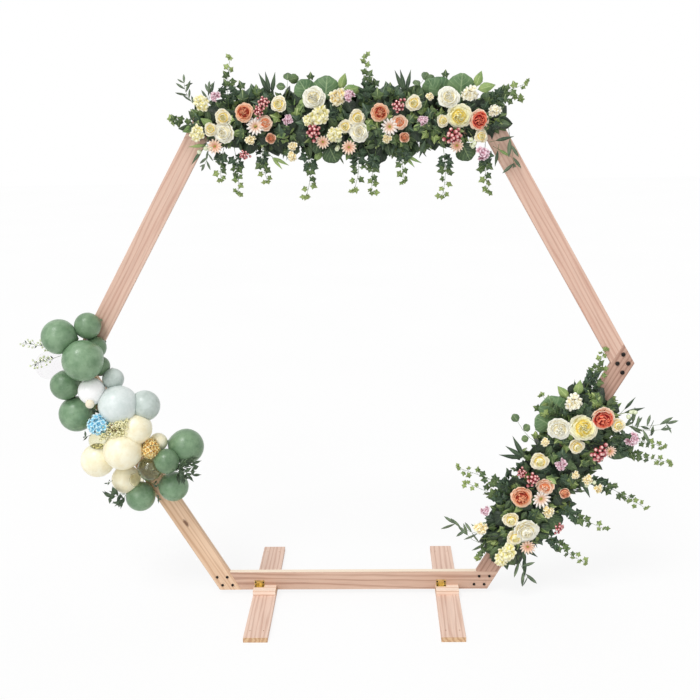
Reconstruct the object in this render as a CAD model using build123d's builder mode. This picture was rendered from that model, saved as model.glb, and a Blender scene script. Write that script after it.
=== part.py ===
from build123d import *
import os
from math import cos, radians, sin, sqrt

# Hexagonal timber wedding arch on two cross planks, dressed with two silk-flower swags and a balloon
# garland. Millimetres. +X to the right as seen from the front, -Y to the front, +Z up. The origin is on
# the floor, under the middle of the bottom board.

os.makedirs("parts", exist_ok=True)

# Boards of the hexagon
side_length = 1100.0  # outer edge of one board, from corner to corner
board_width = 78.0
board_thickness = 25.0
edge_ease = 1.2  # small chamfer along the long edges
bolt_hole_radius = 3.3
bolt_edge_distance = 21.0  # from a bolt to the outer edge of each of the two boards it joins

# Cross planks that the arch stands on
plank_length = 780.0
plank_width = 93.0
plank_thickness = 20.0
left_foot_x = -361.0
right_foot_x = 385.0
peg_hole_radius = 2.6
peg_hole_spacing = 52.0
peg_hole_end_distance = 52.0

# Cleats on the planks and the corner brackets that tie them to the bottom board
cleat_depth = 50.0
cleat_height = 20.0
bracket_length = 40.0
bracket_upright = 22.0
bracket_foot = 18.0
bracket_thickness = 1.6
bracket_inset = 3.0

# Flower swags
soft_gap = 0.3  # between a soft piece and what it rests on
swag_front_depth = 60.0
swag_back_depth = 35.0
swag_rim = 25.0  # bevel round the front and back of the leaves
flower_height = 34.0
flower_rim_share = 0.22
trail_thickness = 12.0
trail_width = 46.0

# Balloons
balloon_wall = 1.0
flat_ball_share = 0.95  # half the width across flats, so that the faces follow the round ball
garland_leaf_y = -48.0  # back of the sprigs tucked between the balloons

half_board = board_thickness / 2
swag_front_surface = half_board + swag_front_depth
apothem = side_length * sqrt(3) / 2
centre_height = plank_thickness + apothem
skew = 1 / sqrt(3)  # sideways run of a board end for each unit of its width

board_directions = {
    "beam_bottom": -90,
    "beam_lower_right": -30,
    "beam_upper_right": 30,
    "beam_top": 90,
    "beam_upper_left": 150,
    "beam_lower_left": 210,
}
feet = {"left": left_foot_x, "right": right_foot_x}
sides = {"front": -1, "rear": 1}


def save(piece, name):
    piece.label = name
    export_step(piece, f"parts/{name}.step")


def board_plane(direction):
    """Back face of a board: x along its outer edge, y towards the opening, z to the front."""
    angle = radians(direction)
    origin = Vector(cos(angle) * apothem, half_board, centre_height + sin(angle) * apothem)
    return Plane(origin=origin, x_dir=(-sin(angle), 0, cos(angle)), z_dir=(0, -1, 0))


def board_outline(gap=0.0):
    """Corners of a board: each end follows the outer edge of the next board."""
    half = side_length / 2 + gap
    return [
        (-half + gap * skew, -gap),
        (half - gap * skew, -gap),
        (half + (board_width + gap) * skew, board_width + gap),
        (-half - (board_width + gap) * skew, board_width + gap),
    ]


def lap_outline(end):
    """Corners of the region cut away for the lap at one end (1 or -1)."""
    corner = end * side_length / 2
    return [
        (corner - end * 2 * skew * board_width, 0),
        (corner + end * board_width, 0),
        (corner + end * 2 * board_width, board_width),
        (corner - end * skew * board_width, board_width),
    ]


def bolt_places():
    """Four bolts in each lap, on lines parallel to the two outer edges."""
    near = bolt_edge_distance
    far = board_width - bolt_edge_distance
    places = []
    for end in (-1, 1):
        for own in (near, far):
            for other in (near, far):
                run = (own / 2 - other) * 2 / sqrt(3)
                places.append((end * (side_length / 2 + run), own))
    return places


def make_board(name, direction):
    """A board that laps over the next one at one end and under the last one at the other."""
    back = board_plane(direction)
    with BuildPart() as board:
        with BuildSketch(back):
            Polygon(*board_outline(), align=None)
        extrude(amount=board_thickness)
        chamfer(board.edges().sort_by(SortBy.LENGTH)[-4:], edge_ease)
        with BuildSketch(back):
            Polygon(*lap_outline(1), align=None)
        extrude(amount=half_board, mode=Mode.SUBTRACT)
        with BuildSketch(back.offset(half_board)):
            Polygon(*lap_outline(-1), align=None)
        extrude(amount=half_board, mode=Mode.SUBTRACT)
        with BuildSketch(back):
            with Locations(*bolt_places()):
                Circle(bolt_hole_radius)
        extrude(amount=board_thickness, mode=Mode.SUBTRACT)
    save(board.part, name)


def make_plank(name, foot_x):
    """A flat cross plank with two peg holes near each end."""
    with BuildPart() as plank:
        with BuildSketch():
            with Locations((foot_x, 0)):
                Rectangle(plank_width, plank_length)
        extrude(amount=plank_thickness)
        chamfer(plank.edges().sort_by(SortBy.LENGTH)[-4:], edge_ease)
        with BuildSketch():
            with Locations((foot_x, 0)):
                with GridLocations(peg_hole_spacing, plank_length - 2 * peg_hole_end_distance, 2, 2):
                    Circle(peg_hole_radius)
        extrude(amount=plank_thickness, mode=Mode.SUBTRACT)
    save(plank.part, name)


def make_cleat(name, foot_x, side):
    """A block that stands on a plank against one face of the bottom board."""
    with BuildPart() as cleat:
        with BuildSketch(Plane.XY.offset(plank_thickness)):
            with Locations((foot_x, side * (half_board + cleat_depth / 2))):
                Rectangle(plank_width, cleat_depth)
        extrude(amount=cleat_height)
        outer_face = cleat.faces().sort_by(Axis.Y)[0 if side < 0 else -1]
        chamfer(outer_face.edges(), edge_ease)
    save(cleat.part, name)


def make_bracket(name, foot_x, side):
    """A bent corner bracket whose screws, and the holes under their heads, are left to the looks."""
    start = foot_x - plank_width / 2 + bracket_inset
    face = side * half_board
    top = plank_thickness + cleat_height
    thick = side * bracket_thickness
    with BuildPart() as bracket:
        with BuildSketch(Plane.YZ.offset(start)):
            with BuildLine():
                Polyline(
                    (face, top),
                    (face + side * bracket_foot, top),
                    (face + side * bracket_foot, top + bracket_thickness),
                    (face + thick, top + bracket_thickness),
                    (face + thick, top + bracket_upright),
                    (face, top + bracket_upright),
                    close=True,
                )
            make_face()
        extrude(amount=bracket_length)
    save(bracket.part, name)


def board_space(directions, gap):
    """The room that the named boards take up, with a gap all round."""
    with BuildPart() as space:
        for direction in directions:
            with BuildSketch(board_plane(direction).offset(-gap)):
                Polygon(*board_outline(gap), align=None)
            extrude(amount=board_thickness + 2 * gap)
    return space.part


def swag_plane(direction, x_dir):
    """Middle of a board, halfway through its thickness: x along it, z to the front."""
    angle = radians(direction)
    reach = apothem - board_width / 2
    origin = Vector(cos(angle) * reach, 0, centre_height + sin(angle) * reach)
    return Plane(origin=origin, x_dir=x_dir, z_dir=(0, -1, 0))


def make_foliage(name, plane, directions, outline):
    """The packed leaves of a swag, open where the boards pass through."""
    back = half_board + swag_back_depth
    with BuildPart() as foliage:
        with BuildSketch(plane.offset(-back)):
            Polygon(*outline, align=None)
        extrude(amount=back + swag_front_surface)
        rims = foliage.faces().sort_by(Axis.Y)
        chamfer(rims[0].edges() + rims[-1].edges(), swag_rim)
        add(board_space(directions, soft_gap), mode=Mode.SUBTRACT)
    save(foliage.part, name)
    return foliage.part


def make_flower(plane, along, across, size):
    """A flower head with a bevelled rim that sits on the front of the leaves."""
    with BuildPart() as head:
        with BuildSketch(plane.offset(swag_front_surface)):
            with Locations((along, across)):
                RegularPolygon(size / 2, 8)
        extrude(amount=flower_height)
        chamfer(head.faces().sort_by(Axis.Y)[0].edges(), size * flower_rim_share)
    return head.part


def make_flowers(name, plane, flowers):
    """The flower heads of one kind in a swag: along, across, diameter."""
    with BuildPart() as heads:
        add([make_flower(plane, *flower) for flower in flowers])
    save(heads.part, name)


def make_trails(name, plane, carrier, trails):
    """Leafy ends that leave what carries them: from a root point to a tip, along and across."""
    with BuildPart() as ends:
        for root_along, root_across, tip_along, tip_across in trails:
            root = Vector(root_along, root_across)
            tip = Vector(tip_along, tip_across)
            side = (tip - root).rotate(Axis.Z, 90).normalized() * (trail_width / 2)
            widest = root + (tip - root) * 0.55
            with BuildSketch(plane):
                Polygon(
                    (root.X, root.Y),
                    ((widest - side).X, (widest - side).Y),
                    (tip.X, tip.Y),
                    ((widest + side).X, (widest + side).Y),
                    align=None,
                )
            extrude(amount=trail_thickness)
        add(carrier, mode=Mode.SUBTRACT)
    save(ends.part, name)


def contact_planes(balls, ball):
    """Where a ball is pressed flat by those it overlaps: a point and the way to the other ball."""
    x, y, z, radius = ball
    centre = Vector(x, y, z)
    planes = []
    for other in balls:
        away = Vector(other[0], other[1], other[2]) - centre
        apart = away.length
        if 0 < apart < radius + other[3]:
            run = (apart**2 + radius**2 - other[3] ** 2) / (2 * apart) - soft_gap / 2
            planes.append((centre + away.normalized() * run, away.normalized()))
    return planes


def make_ball(ball, planes, boards, inset):
    """A ball of 26 flat faces, pressed flat where others and the boards touch it."""
    x, y, z, radius = ball
    half = (radius - inset) * flat_ball_share
    with BuildPart() as body:
        with Locations((x, y, z)):
            Box(2 * half, 2 * half, 2 * half)
        chamfer(body.edges(), half * (2 - sqrt(2)))
        for point, normal in planes:
            split(bisect_by=Plane(origin=point - normal * inset, z_dir=normal), keep=Keep.BOTTOM)
        if -y - half_board < radius:
            add(boards, mode=Mode.SUBTRACT)
    return body.part


def make_balloon(ball, balls):
    """A thin closed shell, pressed against the other balloons of the garland."""
    planes = contact_planes(balls, ball)
    with BuildPart() as balloon:
        add(make_ball(ball, planes, garland_boards, 0))
        add(make_ball(ball, planes, garland_boards_inside, balloon_wall), mode=Mode.SUBTRACT)
    return balloon.part


def make_balloons(name, group, balls):
    """The balloons of one colour in one part of the garland."""
    with BuildPart() as balloons:
        add([make_balloon(ball, balls) for ball in group])
    save(balloons.part, name)


for board_name, board_direction in board_directions.items():
    make_board(board_name, board_direction)
for foot_side, foot_position in feet.items():
    make_plank(f"foot_plank_{foot_side}", foot_position)
    for cleat_side, cleat_sign in sides.items():
        make_cleat(f"cleat_{foot_side}_{cleat_side}", foot_position, cleat_sign)
        make_bracket(f"bracket_{foot_side}_{cleat_side}", foot_position, cleat_sign)

# Top swag: x to the right along the top board, y upwards
top_plane = swag_plane(90, (1, 0, 0))
top_leaves = make_foliage(
    "top_swag_leaves",
    top_plane,
    (90, 30, 150),
    [
        (-600, 10),
        (-560, 95),
        (-480, 130),
        (-400, 110),
        (-320, 140),
        (-240, 120),
        (-130, 150),
        (-40, 130),
        (40, 120),
        (130, 140),
        (230, 120),
        (370, 150),
        (480, 135),
        (560, 95),
        (615, 20),
        (595, -60),
        (520, -120),
        (440, -130),
        (360, -105),
        (270, -140),
        (180, -115),
        (90, -130),
        (0, -105),
        (-100, -130),
        (-200, -110),
        (-290, -135),
        (-390, -115),
        (-480, -125),
        (-560, -80),
    ],
)
top_flowers = {
    "top_swag_white_roses": [(-440, -20, 70), (-115, 85, 75), (50, -25, 70), (370, 85, 70)],
    "top_swag_orange_roses": [
        (-360, 50, 65),
        (125, 40, 65),
        (488, 15, 66),
    ],
    "top_swag_yellow_roses": [
        (-440, 42, 52),
        (-235, 75, 55),
        (-15, 30, 50),
        (250, 70, 55),
        (412, 20, 76),
        (-520, -25, 55),
    ],
    "top_swag_daisies": [(-325, -25, 50), (160, -35, 50)],
    "top_swag_berries": [(-300, 75, 45), (-105, -40, 50), (395, -50, 55)],
}
for flower_name, flower_list in top_flowers.items():
    make_flowers(flower_name, top_plane, flower_list)
make_trails(
    "top_swag_trails",
    top_plane.offset(half_board + soft_gap),
    top_leaves,
    [
        (-420, 60, -410, 240),
        (-530, 50, -585, 175),
        (-560, 20, -640, 35),
        (-230, 60, -205, 165),
        (60, 60, 75, 235),
        (270, 60, 285, 155),
        (590, 10, 650, 120),
        (590, -10, 610, -150),
        (-520, -30, -520, -130),
        (-410, -60, -405, -235),
        (-300, -60, -290, -195),
        (-155, -60, -150, -255),
        (35, -60, 30, -235),
        (120, -60, 105, -240),
        (215, -60, 215, -200),
        (350, -60, 355, -260),
        (510, -60, 520, -240),
    ],
)

# Right swag: x up along the lower right board, y towards the opening
right_plane = swag_plane(-30, (0.5, 0, sqrt(3) / 2))
right_leaves = make_foliage(
    "right_swag_leaves",
    right_plane,
    (-30, 30, -90),
    [
        (-435, 0),
        (-405, 80),
        (-320, 150),
        (-220, 130),
        (-120, 160),
        (-20, 135),
        (80, 150),
        (170, 135),
        (260, 160),
        (350, 140),
        (425, 65),
        (440, -20),
        (400, -110),
        (320, -155),
        (230, -130),
        (150, -160),
        (50, -120),
        (-60, -150),
        (-160, -130),
        (-260, -150),
        (-340, -110),
        (-410, -60),
    ],
)
right_flowers = {
    "right_swag_white_roses": [(-230, -25, 90), (190, 80, 80)],
    "right_swag_orange_roses": [(-125, 65, 80), (-40, 5, 60), (320, -35, 85)],
    "right_swag_yellow_roses": [
        (-235, 60, 60),
        (-300, 15, 60),
        (-370, -5, 55),
        (40, 80, 65),
        (160, -20, 55),
        (240, 10, 90),
    ],
    "right_swag_daisies": [(-100, -10, 60)],
    "right_swag_berries": [(190, -95, 60), (-50, 75, 50)],
}
for flower_name, flower_list in right_flowers.items():
    make_flowers(flower_name, right_plane, flower_list)
make_trails(
    "right_swag_trails",
    right_plane.offset(half_board + soft_gap),
    right_leaves,
    [
        (-120, 60, -150, 330),
        (-180, 60, -190, 275),
        (390, 0, 535, -10),
        (330, -60, 495, -265),
        (300, -60, 425, -310),
        (230, -60, 375, -350),
        (200, -60, 295, -385),
        (60, -60, 70, -400),
        (-90, -60, -85, -300),
        (-200, -60, -250, -320),
        (-330, -30, -415, -200),
        (-370, -20, -440, -85),
        (-320, 60, -350, 275),
        (-350, 40, -415, 215),
    ],
)

# Balloon garland over the left corner: each ball's centre from that corner, and its radius
balloon_groups = {
    "balloons_green_upper": [
        (3, -95, 149, 67),
        (105, -58, 182, 51),
        (95, -125, 63, 78),
        (133, -46, 80, 39),
        (145, -50, 18, 39),
        (-1, -60, -52, 58),
        (32, -50, -172, 70),
    ],
    "balloons_green_lower": [
        (453, -50, -311, 70),
        (389, -125, -344, 49),
        (259, -53, -519, 59),
        (396, -60, -475, 59),
    ],
    "balloons_blue": [(189, -65, -28, 42), (213, -115, -121, 77), (307, -78, -133, 60)],
    "balloons_cream": [
        (281, -95, -218, 56),
        (226, -140, -298, 75),
        (114, -100, -347, 66),
        (206, -50, -447, 57),
        (351, -67, -284, 31),
    ],
    "balloons_white": [(115, -110, -63, 52), (118, -156, -100, 17)],
    "balloons_clear": [
        (-64, -36, 22, 54),
        (115, -90, -263, 30),
        (322, -110, -377, 43),
        (262, -100, -428, 26),
    ],
    "hydrangea_blue": [(144, -150, -186, 40)],
    "hydrangea_orange": [(328, -125, -292, 37)],
}
garland_boards = board_space((150, 210), soft_gap)
garland_boards_inside = board_space((150, 210), soft_gap + balloon_wall)
garland = {
    name: [(x - side_length, y, z + centre_height, radius) for x, y, z, radius in group]
    for name, group in balloon_groups.items()
}
all_balls = [ball for group in garland.values() for ball in group]
for balloon_name, balloon_group in garland.items():
    make_balloons(balloon_name, balloon_group, all_balls)
carriers = [garland["balloons_clear"][0], *garland["balloons_green_lower"]]
make_trails(
    "garland_leaves",
    Plane(origin=(-side_length, garland_leaf_y, centre_height), x_dir=(1, 0, 0), z_dir=(0, -1, 0)),
    [make_ball(ball, [], garland_boards, 0) for ball in carriers],
    [
        (-50, 57, -185, 119),
        (-60, 27, -155, 12),
        (235, -537, 145, -553),
        (460, -353, 510, -413),
    ],
)
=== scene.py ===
from math import atan2, cos, degrees, pi, radians, sin, sqrt
from random import Random

import bpy
from mathutils import Matrix, Vector


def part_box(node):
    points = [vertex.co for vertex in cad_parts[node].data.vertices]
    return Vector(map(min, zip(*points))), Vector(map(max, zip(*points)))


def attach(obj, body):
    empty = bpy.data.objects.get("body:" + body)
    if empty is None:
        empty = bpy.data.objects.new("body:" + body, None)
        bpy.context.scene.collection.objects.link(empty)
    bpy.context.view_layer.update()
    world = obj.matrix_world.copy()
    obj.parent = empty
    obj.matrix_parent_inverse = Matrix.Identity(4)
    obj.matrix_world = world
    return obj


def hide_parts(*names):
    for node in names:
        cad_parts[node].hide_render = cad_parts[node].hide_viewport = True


# Looks of a hexagonal timber wedding arch with two silk-flower swags and a balloon garland.
# Metres, in the frame of the CAD: +X to the right, -Y to the front, +Z up.

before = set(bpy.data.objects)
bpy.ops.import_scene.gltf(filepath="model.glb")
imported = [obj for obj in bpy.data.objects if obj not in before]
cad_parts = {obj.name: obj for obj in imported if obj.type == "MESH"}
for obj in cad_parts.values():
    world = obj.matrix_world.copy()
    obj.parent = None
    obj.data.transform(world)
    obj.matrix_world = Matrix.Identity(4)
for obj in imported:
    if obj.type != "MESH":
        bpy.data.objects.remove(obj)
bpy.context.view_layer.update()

millimetre = 0.001
side_length = 1.1
board_width = 0.078
board_thickness = 0.025
plank_thickness = 0.02
bolt_edge_distance = 0.021
half_board = board_thickness / 2
apothem = side_length * sqrt(3) / 2
board_axis = apothem - board_width / 2
centre_height = plank_thickness + apothem

# Camera

camera_place = (0.1032, -3.755, 1.998)
camera_tilt = 0.2512
camera_heading = 0.0265
camera_roll = -0.0166
camera_lens = 51.43


def set_camera():
    """The camera at the photograph's viewing angle."""
    bpy.ops.object.camera_add(location=camera_place)
    camera = bpy.context.object
    turn = (
        Matrix.Rotation(camera_heading, 3, "Z")
        @ Matrix.Rotation(pi / 2 - camera_tilt, 3, "X")
        @ Matrix.Rotation(camera_roll, 3, "Z")
    )
    camera.rotation_euler = turn.to_euler()
    camera.data.lens = camera_lens
    camera.data.sensor_width = 36
    bpy.context.scene.camera = camera


# Materials


def colour(red, green, blue):
    """A colour given as 0 to 255, as a shader wants it."""
    parts = [(part / 255 + 0.055) / 1.055 for part in (red, green, blue)]
    return (*[part**2.4 for part in parts], 1.0)


def tone_of(value):
    """A shader's colour for a grey, for red, green and blue up to 255, or one that is ready."""
    if not isinstance(value, tuple):
        return (value, value, value, 1.0)
    return colour(*value) if len(value) == 3 else value


class Wiring:
    """Short calls for the nodes of a material or of the surroundings."""

    def __init__(self, owner):
        owner.use_nodes = True
        self.nodes = owner.node_tree.nodes
        self.links = owner.node_tree.links

    def feed(self, socket, value):
        """Gives an input a number, a colour or another node's output."""
        if isinstance(value, bpy.types.NodeSocket):
            self.links.new(value, socket)
        else:
            socket.default_value = value

    def add(self, kind, inputs=None, **settings):
        """A node with its settings and inputs."""
        node = self.nodes.new(kind)
        for key, value in settings.items():
            setattr(node, key, value)
        for key, value in (inputs or {}).items():
            self.feed(node.inputs[key], value)
        return node

    def sum(self, operation, first, second=0.0):
        """Arithmetic on two values."""
        return self.add("ShaderNodeMath", {0: first, 1: second}, operation=operation).outputs[0]


class Finish(Wiring):
    """A material with short calls for what its pattern needs."""

    def __init__(self, name, roughness):
        self.material = bpy.data.materials.new(name)
        super().__init__(self.material)
        self.shader = self.nodes["Principled BSDF"]
        self.set(Roughness=roughness)

    def place(self, source="Object"):
        """The whole arch's coordinates, or a petal's or leaf's own."""
        return self.add("ShaderNodeTexCoord").outputs[source]

    def mapped(self, place=None, **inputs):
        """Coordinates, moved, turned and stretched."""
        vector = self.place() if place is None else place
        return self.add("ShaderNodeMapping", {"Vector": vector, **inputs}).outputs["Vector"]

    def split(self, vector):
        """The X, Y and Z of a vector."""
        return self.add("ShaderNodeSeparateXYZ", {"Vector": vector}).outputs

    def noise(self, vector, scale, detail=2.0, rough=0.5):
        """Cloudy values from 0 to 1."""
        inputs = {"Vector": vector, "Scale": scale, "Detail": detail, "Roughness": rough}
        return self.add("ShaderNodeTexNoise", inputs).outputs["Fac"]

    def ramp(self, value, *stops):
        """Colours along a value: pairs of a place and a colour or grey."""
        node = self.add("ShaderNodeValToRGB", {"Fac": value})
        marks = node.color_ramp.elements
        while len(marks) < len(stops):
            marks.new(0.5)
        for mark, (place, tone) in zip(marks, stops):
            mark.position = place
            mark.color = tone_of(tone)
        return node.outputs["Color"]

    def mix(self, amount, first, second, blend="MIX"):
        """Two colours mixed."""
        node = self.add("ShaderNodeMix", {0: amount}, data_type="RGBA", blend_type=blend)
        for place, value in ((6, first), (7, second)):
            self.feed(node.inputs[place], tone_of(value) if isinstance(value, tuple) else value)
        return node.outputs[2]

    def paint(self, tone):
        """Sends a colour to the shader."""
        self.feed(self.shader.inputs["Base Color"], tone)

    def gloss(self, value):
        """Sends a roughness pattern to the shader."""
        self.feed(self.shader.inputs["Roughness"], value)

    def relief(self, height, strength, depth):
        """Raises the surface a little where the height is high."""
        bump = self.add("ShaderNodeBump", {"Height": height, "Strength": strength, "Distance": depth})
        self.feed(self.shader.inputs["Normal"], bump.outputs["Normal"])

    def set(self, **values):
        """Values that are the same all over."""
        for key, value in values.items():
            self.feed(self.shader.inputs[key.replace("_", " ")], value)


def sawn_pine(name, turn, wood, shift, slope=0.0, knot=None, painted_top_light=0.0):
    """Pine with its rings and fibres along the piece; the turn brings the grain to X. Faces that look
    upwards can be paled as painted top light.
    """
    pale, warm, streak = wood
    finish = Finish(name, 0.68)
    grain_turn = (turn[0], turn[1], turn[2] + slope)
    along = finish.mapped(Rotation=grain_turn, Location=(shift * 1.3, 0, 0))
    trunk_place = (0, 0.075 + shift * 0.02, shift * 0.03)
    ring_inputs = {
        "Vector": finish.mapped(along, Scale=(0.055, 1, 1), Location=trunk_place),
        "Scale": 19.0,
        "Distortion": 5.5,
        "Detail": 2.0,
        "Detail Scale": 2.2,
        "Detail Roughness": 0.5,
    }
    waves = finish.add("ShaderNodeTexWave", ring_inputs, wave_type="RINGS", rings_direction="X")
    rings = waves.outputs["Fac"]
    fibres = finish.noise(finish.mapped(along, Scale=(6.0, 300.0, 300.0)), 1.0, 3.0, 0.6)
    clouds = finish.noise(finish.mapped(along, Scale=(1.8, 30.0, 30.0)), 1.0)
    ringed = finish.ramp(rings, (0.0, streak), (0.22, warm), (0.6, pale), (1.0, pale))
    tone = finish.mix(0.5, finish.ramp(clouds, (0.32, warm), (0.64, pale)), ringed)
    shade = finish.ramp(fibres, (0.3, 0.88), (0.48, 0.98), (0.7, 1.03))
    tone = finish.mix(1.0, tone, shade, "MULTIPLY")
    outward = finish.split(finish.mapped(finish.place("Normal"), Rotation=turn))
    end_rings = finish.ramp(rings, (0.1, 0.0), (0.8, 1.0))
    end_tone = finish.mix(end_rings, (190, 150, 114), (214, 180, 142))
    # Painted light: faces that look upwards are mixed towards a pale colour as painted top light; only
    # the bottom board uses it.
    tone = finish.mix(finish.ramp(outward["Z"], (0.75, 0.0), (0.95, painted_top_light)), tone, (252, 238, 216))
    at_end = finish.ramp(finish.sum("ABSOLUTE", outward["X"]), (0.62, 0.0), (0.8, 1.0))
    tone = finish.mix(at_end, tone, end_tone)
    if knot:
        spot = finish.split(finish.mapped(Rotation=turn, Location=(-knot[0], 0, -knot[1])))
        run = finish.sum("POWER", finish.sum("MULTIPLY", spot["X"], 0.55), 2.0)
        rise = finish.sum("POWER", finish.sum("MULTIPLY", spot["Z"], 1.4), 2.0)
        wobble = finish.sum("MULTIPLY", finish.noise(along, 120.0, 3.0), 0.012)
        reach = finish.sum("ADD", finish.sum("SQRT", finish.sum("ADD", run, rise)), wobble)
        dark = finish.ramp(finish.sum("MULTIPLY", reach, 30.0), (0.36, 0.9), (0.56, 0.0))
        tone = finish.mix(dark, tone, (110, 72, 50))
    finish.paint(tone)
    finish.gloss(finish.ramp(fibres, (0.3, 0.78), (0.7, 0.60)))
    finish.relief(fibres, 0.25, 0.0006)
    return finish.material


def worn_brass(name):
    """Yellow brass plate, a little dulled."""
    finish = Finish(name, 0.3)
    place = finish.mapped()
    blot = finish.noise(place, 90.0, 4.0, 0.6)
    tones = ((0.3, (150, 124, 66)), (0.55, (216, 190, 122)), (0.8, (244, 228, 176)))
    finish.paint(finish.ramp(blot, *tones))
    finish.gloss(finish.ramp(blot, (0.3, 0.45), (0.7, 0.24)))
    finish.relief(finish.noise(place, 700.0), 0.15, 0.0002)
    finish.set(Metallic=1.0)
    return finish.material


def black_steel(name):
    """Blackened steel of bolts and screws."""
    finish = Finish(name, 0.4)
    blot = finish.noise(finish.mapped(), 260.0, 3.0)
    finish.paint(finish.ramp(blot, (0.3, (20, 18, 18)), (0.75, (52, 46, 42))))
    finish.gloss(finish.ramp(blot, (0.3, 0.32), (0.8, 0.55)))
    finish.set(Metallic=0.6)
    return finish.material


def balloon_skin(name, thin, deep):
    """Stretched latex: clouded colour and a soft gloss."""
    finish = Finish(name, 0.3)
    place = finish.mapped()
    finish.paint(finish.ramp(finish.noise(place, 26.0, 4.0, 0.6), (0.34, deep), (0.62, thin)))
    finish.gloss(finish.ramp(finish.noise(place, 60.0, 3.0), (0.35, 0.26), (0.65, 0.38)))
    finish.relief(finish.noise(place, 420.0), 0.03, 0.0004)
    finish.set(Specular_IOR_Level=0.45)
    return finish.material


def clear_skin(name, tint, roughness, bending):
    """A see-through balloon skin, in places a fifth lighter."""
    finish = Finish(name, roughness)
    full = colour(*tint)
    light = (*[min(1.0, part * 1.2) for part in full[:3]], 1.0)
    cloud = finish.noise(finish.mapped(), 22.0, 3.0)
    finish.paint(finish.ramp(cloud, (0.35, full), (0.7, light)))
    finish.gloss(finish.ramp(cloud, (0.3, roughness), (0.8, roughness + 0.05)))
    finish.set(Transmission_Weight=1.0, IOR=bending)
    return finish.material


def print_leaf(finish, veins, vein, dark, light, cloud_size, relief, sheen):
    """Prints a leaf's blade and veins, and raises the veins."""
    cloud = finish.noise(finish.mapped(), cloud_size, 3.0, 0.6)
    finish.paint(finish.mix(veins, finish.ramp(cloud, (0.36, dark), (0.64, light)), vein))
    finish.relief(veins, *relief)
    finish.set(Sheen_Weight=sheen)
    return cloud


def leaf_silk(name, dark, light, vein, side_veins=8.0):
    """Printed leaf silk with a midrib and side veins along its own length."""
    finish = Finish(name, 0.52)
    grid = finish.split(finish.place("UV"))
    aside = finish.sum("ABSOLUTE", finish.sum("SUBTRACT", grid["X"], 0.5))
    slant = finish.sum("SUBTRACT", grid["Y"], finish.sum("MULTIPLY", aside, 0.9))
    wave = finish.sum("SINE", finish.sum("MULTIPLY", slant, side_veins * 2 * pi))
    midrib = finish.ramp(aside, (0.012, 0.85), (0.035, 0.0))
    veins = finish.mix(1.0, finish.ramp(wave, (0.80, 0.0), (0.99, 0.55)), midrib, "ADD")
    cloud = print_leaf(finish, veins, vein, dark, light, 21.0, (0.35, 0.0008), 0.12)
    finish.gloss(finish.ramp(cloud, (0.3, 0.46), (0.7, 0.62)))
    return finish.material


def ivy_silk(name, dark, light, vein):
    """Ivy leaf silk with five veins that spread from the stalk."""
    finish = Finish(name, 0.5)
    grid = finish.split(finish.place("UV"))
    right = finish.sum("SUBTRACT", grid["X"], 0.5)
    up = finish.sum("SUBTRACT", grid["Y"], 0.34)
    wave = finish.sum("COSINE", finish.sum("MULTIPLY", finish.sum("ARCTAN2", right, up), 5.0))
    veins = finish.ramp(wave, (0.86, 0.0), (1.0, 0.8))
    print_leaf(finish, veins, vein, dark, light, 24.0, (0.3, 0.0006), 0.1)
    return finish.material


def petal_silk(name, base, middle, rim, depth=0.35):
    """Petal silk, deep at its base up to the depth and paler to its rim, with fine lengthwise folds;
    the deep base is partly the petal's own colour and partly painted shade between the petals.
    """
    finish = Finish(name, 0.72)
    place = finish.place("UV")
    streaks = finish.noise(finish.mapped(place, Scale=(16.0, 1.6, 1.0)), 1.0, 3.0, 0.6)
    height = finish.sum("ADD", finish.split(place)["Y"], finish.sum("MULTIPLY", streaks, 0.3))
    # The deep base colour is partly the petal's own and partly painted shade between the petals.
    tone = finish.ramp(height, (depth, base), ((depth + 1.1) / 2, middle), (1.13, rim))
    shade = finish.ramp(streaks, (0.3, 0.92), (0.6, 1.0))
    finish.paint(finish.mix(1.0, tone, shade, "MULTIPLY"))
    finish.relief(streaks, 0.24, 0.0008)
    finish.set(Sheen_Weight=0.2)
    return finish.material


def grainy(name, dark, light, roughness, size):
    """A small-grained surface, such as pollen, bells or stems."""
    finish = Finish(name, roughness)
    grain = finish.noise(finish.mapped(), size, 3.0, 0.6)
    finish.paint(finish.ramp(grain, (0.35, dark), (0.65, light)))
    finish.relief(grain, 0.3, 0.0006)
    return finish.material


def berry_skin(name, dark, middle, tip):
    """A glossy berry, paler towards its tip as a painted highlight, since the tips look to the front.
    """
    finish = Finish(name, 0.16)
    cloud = finish.sum("MULTIPLY", finish.noise(finish.mapped(), 150.0), 0.24)
    height = finish.sum("ADD", finish.split(finish.place("UV"))["Y"], cloud)
    # Painted highlight: the colour pales towards the tip, which faces the front.
    finish.paint(finish.ramp(height, (0.55, dark), (0.86, middle), (1.1, tip)))
    finish.gloss(finish.ramp(cloud, (0.06, 0.12), (0.18, 0.26)))
    finish.set(Coat_Weight=0.8)
    return finish.material


# Tools for modelling


def everywhere(place):
    """The test that every corner passes."""
    return True


def choose(piece):
    """Makes one piece the only chosen one."""
    bpy.ops.object.select_all(action="DESELECT")
    piece.select_set(True)
    bpy.context.view_layer.objects.active = piece


def new_shape(add, name, location=(0, 0, 0), **settings):
    """A basic shape, made by its operator, as the only chosen piece."""
    bpy.ops.object.select_all(action="DESELECT")
    add(location=location, **settings)
    shape = bpy.context.object
    shape.name = name
    return shape


def new_ball(name, segments, rings):
    """A ball one unit in radius."""
    ball = bpy.ops.mesh.primitive_uv_sphere_add
    return new_shape(ball, name, segments=segments, ring_count=rings, radius=1)


def new_cylinder(name, corners, radius, bottom, top):
    """A cylinder that stands about Z, from its bottom to its top."""
    size = {"vertices": corners, "radius": radius, "depth": top - bottom}
    cylinder = bpy.ops.mesh.primitive_cylinder_add
    piece = new_shape(cylinder, name, (0, 0, (top + bottom) / 2), **size)
    bpy.ops.object.transform_apply(location=True)
    return piece


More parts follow.
